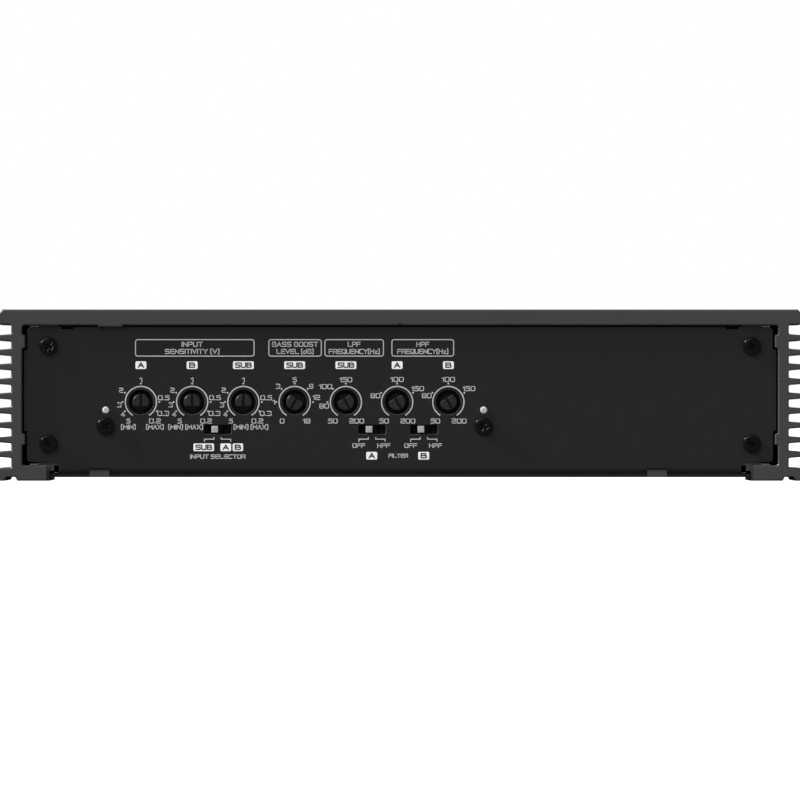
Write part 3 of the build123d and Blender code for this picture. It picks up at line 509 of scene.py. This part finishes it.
TAB_BACK = 111.3 * MM
TIN = (0.62, 0.62, 0.60)
transistor_finish = two_part(
    "transistor",
    TIN,
    (0.010, 0.010, 0.011),
    lambda tree: compare(tree, "GREATER_THAN", magnitude(tree, axis_value(tree, "X")), TAB_BACK),
)
coat_nodes(transistor_finish, "supply_transistors", "output_transistors")
sleeve_finish = two_part(
    "capacitor_sleeve",
    (0.70, 0.70, 0.70),
    (0.012, 0.014, 0.035),
    lambda tree: compare(tree, "GREATER_THAN", axis_value(tree, "Z", "Normal"), 0.9),
    rough=(0.2, 0.35),
)
coat_nodes(sleeve_finish, "supply_capacitors", "rail_capacitors", "signal_capacitors")

BLADE_LENGTH = 11.2 * MM
blade_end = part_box("lower_fuse")[0].y + BLADE_LENGTH


def is_blade(tree):
    """1 at the blades of a fuse, 0 in its moulded body."""
    return compare(tree, "LESS_THAN", axis_value(tree, "Y"), blade_end)


amber = two_part("fuse_amber", TIN, (0.75, 0.28, 0.02), is_blade, rough=(0.15, 0.3))
green = two_part("fuse_green", TIN, (0.03, 0.33, 0.09), is_blade, rough=(0.15, 0.3))
coat_nodes(amber, "lower_fuse")
coat_nodes(green, "upper_fuse")
row_split = (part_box("rca_insulators")[0].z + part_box("rca_insulators")[1].z) / 2
rca_colours = two_part(
    "rca_insulator",
    (0.70, 0.70, 0.68),
    (0.50, 0.015, 0.012),
    lambda tree: compare(tree, "GREATER_THAN", axis_value(tree, "Z"), row_split),
    metal_outer=0.0,
)
coat_nodes(rca_colours, "rca_insulators")

# %% Finishes: the last few
ferrite = speckled("ferrite", (0.025, 0.024, 0.023), (0.045, 0.043, 0.041), 700, (0.6, 0.8), depth=0.00006)
coat_nodes(ferrite, "transformer_core", "inductor_cores")
film = speckled("film_capacitor", (0.40, 0.06, 0.02), (0.50, 0.08, 0.03), 500, (0.15, 0.3))
coat_nodes(film, "film_capacitors")
pad = speckled("silicone_pad", (0.38, 0.42, 0.46), (0.46, 0.50, 0.54), 1500, (0.6, 0.8))
coat_nodes(pad, "insulating_pads")
sheet_film = speckled("insulation_film", (0.60, 0.57, 0.46), (0.68, 0.65, 0.54), 90, (0.25, 0.4))
coat_nodes(sheet_film, "insulation_sheet")
lens = speckled("led_lens", (0.04, 0.38, 0.10), (0.06, 0.48, 0.14), 300, (0.1, 0.2))
coat_nodes(lens, "power_led")
bare = [name for name, node in nodes.items() if not node.data.materials or not node.data.materials[0]]
print("nodes without a finish:", bare)

# %% [markdown]
# ## Screen print
# The panel is printed in off-white ink: a ring with index dots round each rotary control, numbers,
# framed headings, and solid labels with the letter left dark. Each piece of print is a flat shape
# raised a few hundredths of a millimetre. They are drawn in a plane first, with X to the right and
# Y up, then stood on the panel's face together.

# %% Where the controls are
panel_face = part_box("control_panel")[0].y
hinges = [joint for joint in frame["joints"] if joint["type"] == "hinge"]
pot_columns = [joint["pos_m"][0] / MM for joint in hinges]
pot_row = hinges[0]["pos_m"][2] / MM
print("rotary controls at", [round(x, 2) for x in pot_columns], "height", pot_row)


def slot_centre(slider):
    """The middle of a slide switch's travel, in millimetres across and up the panel."""
    low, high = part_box(slider)
    travel = next(j["range_m"][1] for j in frame["joints"] if j["child"] == slider)
    return ((low.x + high.x + travel) / 2 / MM, (low.z + high.z) / 2 / MM)


selector = slot_centre("input_selector_slider")
filter_a = slot_centre("filter_a_slider")
filter_b = slot_centre("filter_b_slider")
print("slide switches at", selector, filter_a, filter_b)

# %% [markdown]
# A letter is a few strokes in a square that runs from 0 to 1 both ways. Each stroke is a row of
# numbers, x and y in turn, for the points that it passes. Its inner corners are rounded later.

# %% The strokes of each letter
STROKES = {
    "0": ((0.5, 1, 0, 1, 0, 0, 1, 0, 1, 1, 0.5, 1),),
    "1": ((0, 0.75, 0.35, 1), (0.35, 1, 0.35, 0)),
    "2": ((0, 1, 1, 1, 1, 0.5, 0, 0.5, 0, 0), (0, 0, 1, 0)),
    "3": ((0, 1, 1, 1, 1, 0.53, 0.35, 0.53), (0.5, 0.53, 1, 0.53, 1, 0, 0, 0)),
    "4": ((0.7, 0, 0.7, 1), (0.7, 1, 0, 0.3), (0, 0.3, 1, 0.3)),
    "5": ((0.95, 1, 0, 1), (0, 1, 0, 0.58), (0, 0.58, 1, 0.58, 1, 0, 0, 0)),
    "6": ((0.95, 0.8, 0.95, 1, 0, 1, 0, 0, 1, 0, 1, 0.56, 0, 0.56),),
    "8": ((0.5, 1, 0, 1, 0, 0, 1, 0, 1, 1, 0.5, 1), (0, 0.5, 1, 0.5)),
    ".": ((0, 0.03, 0.12, 0.03),),
    "(": ((0.3, 1.12, 0, 1.12, 0, -0.12, 0.3, -0.12),),
    ")": ((0, 1.12, 0.3, 1.12, 0.3, -0.12, 0, -0.12),),
    "+": ((0, 0.5, 0.9, 0.5), (0.45, 0.05, 0.45, 0.95)),
    "-": ((0, 0.5, 0.9, 0.5),),
    "A": ((0, 0, 0.5, 1), (0.5, 1, 1, 0), (0.18, 0.33, 0.82, 0.33)),
    "B": ((0, 0, 0, 1), (0, 1, 0.92, 1, 0.92, 0.53, 0, 0.53), (0.5, 0.53, 1, 0.53, 1, 0, 0, 0)),
    "C": ((1, 1, 0, 1, 0, 0, 1, 0),),
    "D": ((0, 0, 0, 1), (0, 1, 1, 1, 1, 0, 0, 0)),
    "E": ((1, 1, 0, 1), (0, 1, 0, 0), (0, 0, 1, 0), (0, 0.52, 0.9, 0.52)),
    "F": ((1, 1, 0, 1), (0, 1, 0, 0), (0, 0.52, 0.9, 0.52)),
    "G": ((1, 0.75, 1, 1, 0, 1, 0, 0, 1, 0, 1, 0.5), (1, 0.5, 0.55, 0.5)),
    "H": ((0, 0, 0, 1), (1, 0, 1, 1), (0, 0.52, 1, 0.52)),
    "I": ((0, 0, 0, 1),),
    "K": ((0, 0, 0, 1), (1, 1, 0.1, 0.5), (0.3, 0.6, 1, 0)),
    "L": ((0, 1, 0, 0), (0, 0, 0.95, 0)),
    "M": ((0, 0, 0, 1), (0, 1, 0.55, 0.3), (0.55, 0.3, 1.1, 1), (1.1, 1, 1.1, 0)),
    "N": ((0, 0, 0, 1), (0, 1, 1, 0), (1, 0, 1, 1)),
    "O": ((0.5, 1, 0, 1, 0, 0, 1, 0, 1, 1, 0.5, 1),),
    "P": ((0, 0, 0, 1), (0, 1, 1, 1, 1, 0.45, 0, 0.45)),
    "Q": ((0.5, 1, 0, 1, 0, 0, 1, 0, 1, 1, 0.5, 1), (0.6, 0.25, 0.95, -0.08)),
    "R": ((0, 0, 0, 1), (0, 1, 1, 1, 1, 0.45, 0, 0.45), (0.6, 0.45, 1, 0)),
    "S": ((1, 1, 0, 1, 0, 0.52, 1, 0.52, 1, 0, 0, 0),),
    "T": ((0, 1, 1, 1), (0.5, 1, 0.5, 0)),
    "U": ((0, 1, 0, 0, 1, 0, 1, 1),),
    "V": ((0, 1, 0.5, 0), (0.5, 0, 1, 1)),
    "W": ((0, 1, 0.3, 0), (0.3, 0, 0.6, 0.9), (0.6, 0.9, 0.9, 0), (0.9, 0, 1.2, 1)),
    "X": ((0, 0, 1, 1), (0, 1, 1, 0)),
    "Y": ((0, 1, 0.5, 0.45), (1, 1, 0.5, 0.45), (0.5, 0.45, 0.5, 0)),
    "d": ((0.8, 1, 0.8, 0), (0.8, 0, 0, 0, 0, 0.62, 0.8, 0.62)),
    "z": ((0, 0.62, 0.75, 0.62), (0.75, 0.62, 0, 0), (0, 0, 0.75, 0)),
}
LETTER_GAP = 0.34
WORD_GAP = 0.55
THIN = 0.29
BEND_STEPS = 4
BEND_RADIUS = 0.22
print("letters that can be drawn:", "".join(STROKES))


# %% Helpers that draw flat print, in millimetres
def softened(points, radius):
    """The same path with each inner corner replaced by a small curve."""
    path = [points[0]]
    for before, corner, after in zip(points, points[1:], points[2:]):
        cut_in = min(radius, (corner - before).length / 2)
        cut_out = min(radius, (after - corner).length / 2)
        start = corner + (before - corner).normalized() * cut_in
        end = corner + (after - corner).normalized() * cut_out
        for step in range(BEND_STEPS + 1):
            t = step / BEND_STEPS
            path.append(start * (1 - t) ** 2 + corner * 2 * t * (1 - t) + end * t**2)
    path.append(points[-1])
    return path


def draw_stroke(sheet, points, line):
    """Adds one band of even width along a path, with square ends that reach half a line further."""
    path = [point for point, following in zip(points, points[1:]) if (following - point).length > 1e-6]
    path.append(points[-1])
    path[0] = path[0] + (path[0] - path[1]).normalized() * line / 2
    path[-1] = path[-1] + (path[-1] - path[-2]).normalized() * line / 2
    sides = []
    for index, point in enumerate(path):
        arriving = (point - path[index - 1]).normalized() if index else (path[1] - point).normalized()
        leaving = (path[index + 1] - point).normalized() if index < len(path) - 1 else arriving
        along = (arriving + leaving).normalized()
        stretch = 1 / max(0.5, along.dot(leaving))
        across = Vector((-along.y, along.x)) * line / 2 * stretch
        sides.append([sheet.verts.new((*(point + sign * across), 0)) for sign in (1, -1)])
    for (left, right), (next_left, next_right) in zip(sides, sides[1:]):
        sheet.faces.new([left, right, next_right, next_left])


def draw_text(sheet, words, x, y, tall, wide=None, line=THIN):
    """Adds a word centred on (x, y) in a round-cornered stroke lettering, set to a width."""
    letters = []
    reach = 0.0
    for letter in words:
        if letter == " ":
            reach += WORD_GAP
            continue
        strokes = [list(zip(stroke[::2], stroke[1::2])) for stroke in STROKES[letter]]
        letters.append((reach, strokes))
        reach += max(px for stroke in strokes for px, _ in stroke) + LETTER_GAP
    reach -= LETTER_GAP
    height = tall - line
    across = (wide - line) / reach if wide else height
    for begin, strokes in letters:
        for stroke in strokes:
            path = [
                Vector((x + (begin + px - reach / 2) * across, y + (py - 0.5) * height)) for px, py in stroke
            ]
            draw_stroke(sheet, softened(path, BEND_RADIUS * height), line)


def draw_dot(sheet, x, y, diameter):
    """Adds a filled disc."""
    bmesh.ops.create_circle(
        sheet, cap_ends=True, segments=20, radius=diameter / 2, matrix=Matrix.Translation((x, y, 0))
    )


def draw_arc(sheet, x, y, radius, line, start, end, steps=72):
    """Adds a ring band between two angles, clockwise from the top, by spinning one short edge."""
    inner = sheet.verts.new((x, y + radius - line / 2, 0))
    outer = sheet.verts.new((x, y + radius + line / 2, 0))
    edge = sheet.edges.new((inner, outer))
    centre = Vector((x, y, 0))
    bmesh.ops.rotate(
        sheet, cent=centre, matrix=Matrix.Rotation(math.radians(-start), 3, "Z"), verts=[inner, outer]
    )
    bmesh.ops.spin(
        sheet,
        geom=[inner, outer, edge],
        cent=centre,
        axis=(0, 0, -1),
        angle=math.radians(end - start),
        steps=steps,
    )


def draw_box(sheet, left, right, low, high):
    """Adds a filled rectangle."""
    corners = [(left, low), (right, low), (right, high), (left, high)]
    sheet.faces.new([sheet.verts.new((x, y, 0)) for x, y in corners])


def draw_frame(sheet, left, right, low, high, line, corner):
    """Adds an outline with rounded corners: four straight sides and four quarter rings."""
    draw_box(sheet, left + corner, right - corner, high - line, high)
    draw_box(sheet, left + corner, right - corner, low, low + line)
    draw_box(sheet, left, left + line, low + corner, high - corner)
    draw_box(sheet, right - line, right, low + corner, high - corner)
    radius = corner - line / 2
    draw_arc(sheet, left + corner, high - corner, radius, line, -90, 0, 6)
    draw_arc(sheet, right - corner, high - corner, radius, line, 0, 90, 6)
    draw_arc(sheet, right - corner, low + corner, radius, line, 90, 180, 6)
    draw_arc(sheet, left + corner, low + corner, radius, line, 180, 270, 6)


def draw_label(sheet, left, right, low, high, corner=0.3):
    """Adds a filled rectangle with its corners cut off."""
    points = []
    for x, y, inwards_x, inwards_y in (
        (left, low, 1, 1),
        (right, low, -1, 1),
        (right, high, -1, -1),
        (left, high, 1, -1),
    ):
        cuts = [(x + inwards_x * corner, y), (x, y + inwards_y * corner)]
        points += cuts if inwards_x == -inwards_y else cuts[::-1]
    sheet.faces.new([sheet.verts.new((x, y, 0)) for x, y in points])


def print_on_panel(sheet, name, finish, face_y, lift, thickness, turned=False):
    """Stands a flat drawing on a panel's face, gives it thickness and lets it ride on the chassis."""
    bmesh.ops.remove_doubles(sheet, verts=sheet.verts, dist=0.0005)
    bmesh.ops.scale(sheet, vec=(MM, MM, MM), verts=sheet.verts)
    grown = bmesh.ops.extrude_face_region(sheet, geom=list(sheet.faces))
    raised = [item for item in grown["geom"] if isinstance(item, bmesh.types.BMVert)]
    bmesh.ops.translate(sheet, vec=(0, 0, thickness), verts=raised)
    bmesh.ops.recalc_face_normals(sheet, faces=sheet.faces)
    stand = Matrix.Rotation(math.radians(90), 4, "X")
    turn = Matrix.Rotation(math.pi, 4, "Z") if turned else Matrix.Identity(4)
    outwards = 1 if turned else -1
    place_at = Matrix.Translation((0, face_y + outwards * lift, 0)) @ turn @ stand
    bmesh.ops.transform(sheet, matrix=place_at, verts=sheet.verts)
    mesh = bpy.data.meshes.new(name)
    sheet.to_mesh(mesh)
    sheet.free()
    mesh.materials.append(finish)
    piece = bpy.data.objects.new(name, mesh)
    bpy.context.scene.collection.objects.link(piece)
    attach(piece, "chassis")
    print(name, "faces:", len(mesh.polygons))
    return piece


# %% [markdown]
# The inks: a slightly grey off-white for lines and letters, a brighter one for the solid labels,
# and the black of the panel for the letters inside those. The ink is thirty micrometres thick, and
# lies a hair above what it is printed on.

# %% Inks
ink_line = speckled("ink_line", (0.47, 0.47, 0.47), (0.53, 0.53, 0.53), 4000, (0.5, 0.65), specular=0.3)
ink_solid = speckled("ink_solid", (0.88, 0.88, 0.88), (0.92, 0.92, 0.92), 4000, (0.5, 0.65), specular=0.3)
ink_dark = speckled("ink_dark", (0.012, 0.012, 0.012), (0.015, 0.015, 0.015), 4000, (0.6, 0.7), specular=0.2)

# %% Scales round the rotary controls
RING_RADIUS = 5.46
RING_LINE = 0.40
RING_END = 148.4
DOT_RADIUS = 6.45
DOT = 0.62
FIGURE = 1.75
INPUT_SCALE = {
    "dots": (-120, -90, -60, 0, 90, 120),
    "figures": (
        ("1", 0, 7.8, 0.95),
        ("2", -6.9, 4.1, 1.5),
        ("3", -7.5, -1.0, 1.5),
        ("4", -6.3, -4.3, 1.6),
        ("5", -4.4, -6.65, 1.5),
        ("0.2", 4.9, -6.65, 4.1),
        ("0.3", 7.8, -4.0, 4.1),
        ("0.5", 8.0, 1.5, 4.1),
    ),
}
BASS_SCALE = {
    "dots": (-90, -45, 0, 45, 90),
    "figures": (
        ("5", 0, 7.8, 1.5),
        ("3", -5.8, 5.5, 1.5),
        ("8", 5.8, 5.5, 1.5),
        ("1", -7.3, 0, 0.95),
        ("12", 7.6, 1.6, 2.6),
        ("0", -4.4, -6.65, 1.6),
        ("18", 4.2, -6.65, 2.6),
    ),
}
LOW_PASS_SCALE = {
    "dots": (-90, -45, 0),
    "figures": (
        ("150", 0, 7.8, 4.4),
        ("100", -7.1, 5.4, 4.6),
        ("80", -7.6, -1.4, 3.4),
        ("50", -4.6, -6.65, 3.4),
        ("200", 3.75, -6.65, 5.2),
    ),
}
HIGH_PASS_SCALE = {
    "dots": (-60, 0, 60),
    "figures": (
        ("100", 0, 7.9, 4.6),
        ("80", -7.6, 2.2, 3.4),
        ("150", 7.2, 4.7, 4.4),
        ("50", -4.6, -6.65, 3.4),
        ("200", 3.75, -6.65, 5.2),
    ),
}
scales = [INPUT_SCALE] * 3 + [BASS_SCALE, LOW_PASS_SCALE] + [HIGH_PASS_SCALE] * 2

line_print = bmesh.new()
for column, scale in zip(pot_columns, scales):
    draw_arc(line_print, column, pot_row, RING_RADIUS, RING_LINE, -RING_END, RING_END)
    for angle in scale["dots"]:
        turn = math.radians(angle)
        draw_dot(
            line_print,
            column + DOT_RADIUS * math.sin(turn),
            pot_row + DOT_RADIUS * math.cos(turn),
            DOT,
        )
    for words, across, up, wide in scale["figures"]:
        draw_text(line_print, words, column + across, pot_row + up, FIGURE, wide)
LIMIT_DROP = 8.75
for column, least, most in zip(pot_columns, (-4.4, -5.8, -0.85), (4.9, 0.7, 5.6)):
    draw_text(line_print, "(MIN)", column + least, pot_row - LIMIT_DROP, FIGURE, 5.2)
    draw_text(line_print, "(MAX)", column + most, pot_row - LIMIT_DROP, FIGURE, 6.2)
print("scales drawn:", len(scales))

# %% Framed headings
HEADING_LOW = 43.5
HEADING_HIGH = 49.6
HEADING_LINE = 0.33
HEADING_CORNER = 1.0
UPPER_ROW = 47.8
LOWER_ROW = 45.3
headings = (
    (pot_columns[0] - 2.05, pot_columns[2] + 3.9, "INPUT", 7.4, "SENSITIVITY (V)", 19.1),
    (pot_columns[3] - 9.2, pot_columns[3] + 9.5, "BASS BOOST", 16.2, "LEVEL (dB)", 13.0),
    (pot_columns[4] - 7.5, pot_columns[4] + 13.3, "LPF", 4.5, "FREQUENCY(Hz)", 17.9),
    (pot_columns[5] - 2.0, pot_columns[6] + 2.0, "HPF", 4.5, "FREQUENCY(Hz)", 17.9),
)
for left, right, upper, upper_wide, lower, lower_wide in headings:
    draw_frame(line_print, left, right, HEADING_LOW, HEADING_HIGH, HEADING_LINE, HEADING_CORNER)
    centre = (left + right) / 2 - (0.9 if upper == "INPUT" else 0.0)
    draw_text(line_print, upper, centre, UPPER_ROW, FIGURE, upper_wide)
    draw_text(line_print, lower, centre, LOWER_ROW, FIGURE, lower_wide)
print("headings drawn:", len(headings))

# %% Legends under the slide switches
BRACKET_LINE = 0.32
BRACKET = ((1.3, 2.9), (1.3, 3.45), (4.6, 3.45), (4.6, 4.2))
STATE_DROP = 5.7
STATE_TALL = 1.6
for middle, row in (selector, filter_a, filter_b):
    for side in (-1, 1):
        path = [Vector((middle + side * across, row - down)) for across, down in BRACKET]
        draw_stroke(line_print, path, BRACKET_LINE)
for middle, row in (filter_a, filter_b):
    draw_text(line_print, "OFF", middle - 4.6, row - STATE_DROP, STATE_TALL, 4.5)
    draw_text(line_print, "HPF", middle + 4.1, row - STATE_DROP, STATE_TALL, 4.6)
draw_text(line_print, "INPUT SELECTOR", selector[0] + 0.1, 8.5, 1.55, 19.4)
draw_text(line_print, "FILTER", (filter_a[0] + filter_b[0]) / 2 + 0.1, 8.8, 1.45, 6.9)

# %% Solid labels with dark letters
LABEL_ROW = 40.5
SELECTOR_ROW = 11.75
FILTER_ROW = 8.8
LABEL_HIGH = 2.7
LABEL_WIDE = 7.3
LABEL_NARROW = 3.8
LABEL_LETTER = 1.9
BOLD = 0.42
labels = [
    ("A", pot_columns[0], LABEL_ROW, LABEL_NARROW),
    ("B", pot_columns[1], LABEL_ROW, LABEL_NARROW),
    ("SUB", pot_columns[2], LABEL_ROW, LABEL_WIDE),
    ("SUB", pot_columns[3], LABEL_ROW, LABEL_WIDE),
    ("SUB", pot_columns[4], LABEL_ROW, LABEL_WIDE),
    ("A", pot_columns[5], LABEL_ROW, LABEL_NARROW),
    ("B", pot_columns[6], LABEL_ROW, LABEL_NARROW),
    ("SUB", selector[0] - 4.85, SELECTOR_ROW, 7.2),
    ("A", selector[0] + 2.85, SELECTOR_ROW, 3.75),
    ("B", selector[0] + 7.1, SELECTOR_ROW, 3.65),
    ("A", filter_a[0] - 0.1, FILTER_ROW, 3.85),
    ("B", filter_b[0] - 0.05, FILTER_ROW, 3.85),
]
solid_print = bmesh.new()
dark_print = bmesh.new()


def add_label(ground, letters, words, x, y, wide):
    """A solid label on one sheet with its dark letters on another."""
    draw_label(ground, x - wide / 2, x + wide / 2, y - LABEL_HIGH / 2, y + LABEL_HIGH / 2)
    draw_text(letters, words, x, y, LABEL_LETTER, 5.9 if len(words) > 1 else 2.2, BOLD)


for words, x, y, wide in labels:
    add_label(solid_print, dark_print, words, x, y, wide)
print("labels drawn:", len(labels))

# %% [markdown]
# The rear panel has its own legends, drawn the same way and turned round to face the rear. There
# the drawing's X runs the other way, so each place is the connector's X with its sign changed.

# %% Sheets and helpers for the rear panel
rear_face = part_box("terminal_panel")[1].y
rear_lines = bmesh.new()
rear_labels = bmesh.new()
rear_letters = bmesh.new()
REAR_FRAME = 4.4
REAR_CORNER = 0.9


def middle_x(name):
    """The middle of a node, in millimetres, in the drawing of the rear panel."""
    low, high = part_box(name)
    return -(low.x + high.x) / 2 / MM


def rear_heading(words, x, half, low, wide):
    """A framed word above a group of connectors."""
    draw_frame(rear_lines, x - half, x + half, low, low + REAR_FRAME, HEADING_LINE, REAR_CORNER)
    draw_text(rear_lines, words, x, low + REAR_FRAME / 2, FIGURE, wide)


def rear_label(words, x, y):
    """A solid label with dark letters."""
    wide = LABEL_WIDE if len(words) > 1 else LABEL_NARROW
    add_label(rear_labels, rear_letters, words, x, y, wide)


# %% Legends of the inputs and jacks
SOCKET_PITCH = 18.0
UPPER_SOCKETS = 38.0
LOWER_SOCKETS = 20.0
sockets_x = middle_x("rca_sleeves")
rear_heading("INPUT", sockets_x, half=26.5, low=47.6, wide=8.5)
for step, words in ((1, "A"), (0, "B"), (-1, "SUB")):
    rear_label(words, sockets_x + step * SOCKET_PITCH, 45.4)
draw_text(rear_lines, "L", sockets_x - 28.2, UPPER_SOCKETS, FIGURE, 1.6)
draw_text(rear_lines, "R", sockets_x - 28.2, LOWER_SOCKETS, FIGURE, 1.6)
draw_text(rear_lines, "SP. IN", middle_x("speaker_level_socket"), 24.4, FIGURE, 7.6)
draw_text(rear_lines, "REMOTE", middle_x("remote_jack"), 43.4, FIGURE, 10.0)
draw_text(rear_lines, "POWER", middle_x("power_led"), 42.0, FIGURE, 8.6)

# %% Legends of the terminals and fuses
SPEAKER_BAYS = 8
BAY_PITCH = 10.0
SIGN_ROW = 30.4
CHANNEL_ROW = 33.9
POWER_PITCH = 14.0
speakers_x = middle_x("speaker_terminal_block")
rear_heading("SPEAKER OUTPUT", speakers_x, half=40.5, low=36.6, wide=23.0)
for bay in range(SPEAKER_BAYS):
    bay_x = speakers_x + ((SPEAKER_BAYS - 1) / 2 - bay) * BAY_PITCH
    draw_text(rear_lines, "+" if bay % 2 == 0 else "-", bay_x, SIGN_ROW, 2.0, 2.0)
for step, words in ((2, "A"), (-2, "B")):
    rear_label(words, speakers_x + step * BAY_PITCH, CHANNEL_ROW)
for pair, words in enumerate(("L", "R", "L", "R")):
    draw_text(rear_lines, words, speakers_x + (3 - 2 * pair) * BAY_PITCH, CHANNEL_ROW, FIGURE, 1.6)
draw_text(rear_lines, "FUSE", middle_x("fuse_holder"), 39.6, FIGURE, 7.0)
power_x = middle_x("power_terminal_block")
rear_heading("POWER INPUT", power_x, half=20.5, low=40.6, wide=17.5)
for step, words, wide in ((1, "GND", 5.6), (0, "REM", 5.8), (-1, "+12", 4.6)):
    draw_text(rear_lines, words, power_x + step * POWER_PITCH, 35.6, FIGURE, wide)

# %% [markdown]
# ## Edge seals
# Inside the rear panel, black foam strips close what is open beside it: between the panel and each
# side wall, above, between and below the wall's two ribs, and over the bottom plate at each foot.
# A strip is a bevelled block.

# %% Foam strips behind the rear panel
SEAL_THICK = 1.2 * MM
SEAL_BEVEL = 0.12 * MM
SHEET = 1.2
CLEAR = 0.02
PLATE_TOP = 2.48
WALL_SEAL = (129.2, 132.24)
WALL_SEAL_HEIGHTS = ((5.5, 12.28), (16.82, 46.18), (51.42, 54.5))
FOOT_SEAL = (119.4, 122.75)
FOOT_SEAL_HEIGHTS = ((PLATE_TOP + CLEAR, 3.45),)
seal_rear = rear_face - (SHEET + CLEAR) * MM
foam_black = speckled(
    "foam_black", (0.008, 0.008, 0.008), (0.014, 0.014, 0.014), 1800, (0.8, 0.95), specular=0.1
)


def add_strip(sheet, low_x, high_x, low_z, high_z):
    """One foam strip against the inside of the rear panel; places are in millimetres."""
    made = bmesh.ops.create_cube(sheet, size=1)
    size = ((high_x - low_x) * MM, SEAL_THICK, (high_z - low_z) * MM)
    bmesh.ops.scale(sheet, vec=size, verts=made["verts"])
    edges = list({edge for vert in made["verts"] for edge in vert.link_edges})
    soft = bmesh.ops.bevel(
        sheet,
        geom=edges,
        offset=SEAL_BEVEL,
        offset_type="OFFSET",
        segments=3,
        profile=0.5,
        affect="EDGES",
        material=-1,
    )
    verts = {vert for face in soft["faces"] for vert in face.verts}
    verts |= {vert for vert in made["verts"] if vert.is_valid}
    middle = ((low_x + high_x) / 2 * MM, seal_rear - SEAL_THICK / 2, (low_z + high_z) / 2 * MM)
    bmesh.ops.translate(sheet, vec=middle, verts=list(verts))


seals = bmesh.new()
for side in (-1, 1):
    for reach, heights in ((WALL_SEAL, WALL_SEAL_HEIGHTS), (FOOT_SEAL, FOOT_SEAL_HEIGHTS)):
        low_x, high_x = sorted(side * x for x in reach)
        for low_z, high_z in heights:
            add_strip(seals, low_x, high_x, low_z, high_z)
bmesh.ops.recalc_face_normals(seals, faces=seals.faces)
seal_mesh = bpy.data.meshes.new("edge_seals")
seals.to_mesh(seal_mesh)
seals.free()
seal_mesh.materials.append(foam_black)
edge_seals = bpy.data.objects.new("edge_seals", seal_mesh)
bpy.context.scene.collection.objects.link(edge_seals)
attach(edge_seals, "chassis")
print("edge seals:", len(seal_mesh.polygons), "faces")

# %% [markdown]
# ## Put the print on the panels
# The six sheets are stood on the two panels: lines and labels on the paint, and the dark letters
# on their labels.

# %% Print both panels
INK = 0.03 * MM
GAP = 0.004 * MM
print_on_panel(line_print, "print_lines", ink_line, panel_face, GAP, INK)
print_on_panel(solid_print, "print_labels", ink_solid, panel_face, GAP, INK)
print_on_panel(dark_print, "print_label_letters", ink_dark, panel_face, 2 * GAP + INK, INK)
print_on_panel(rear_lines, "rear_lines", ink_line, rear_face, GAP, INK, turned=True)
print_on_panel(rear_labels, "rear_labels", ink_solid, rear_face, GAP, INK, turned=True)
print_on_panel(rear_letters, "rear_label_letters", ink_dark, rear_face, 2 * GAP + INK, INK, turned=True)
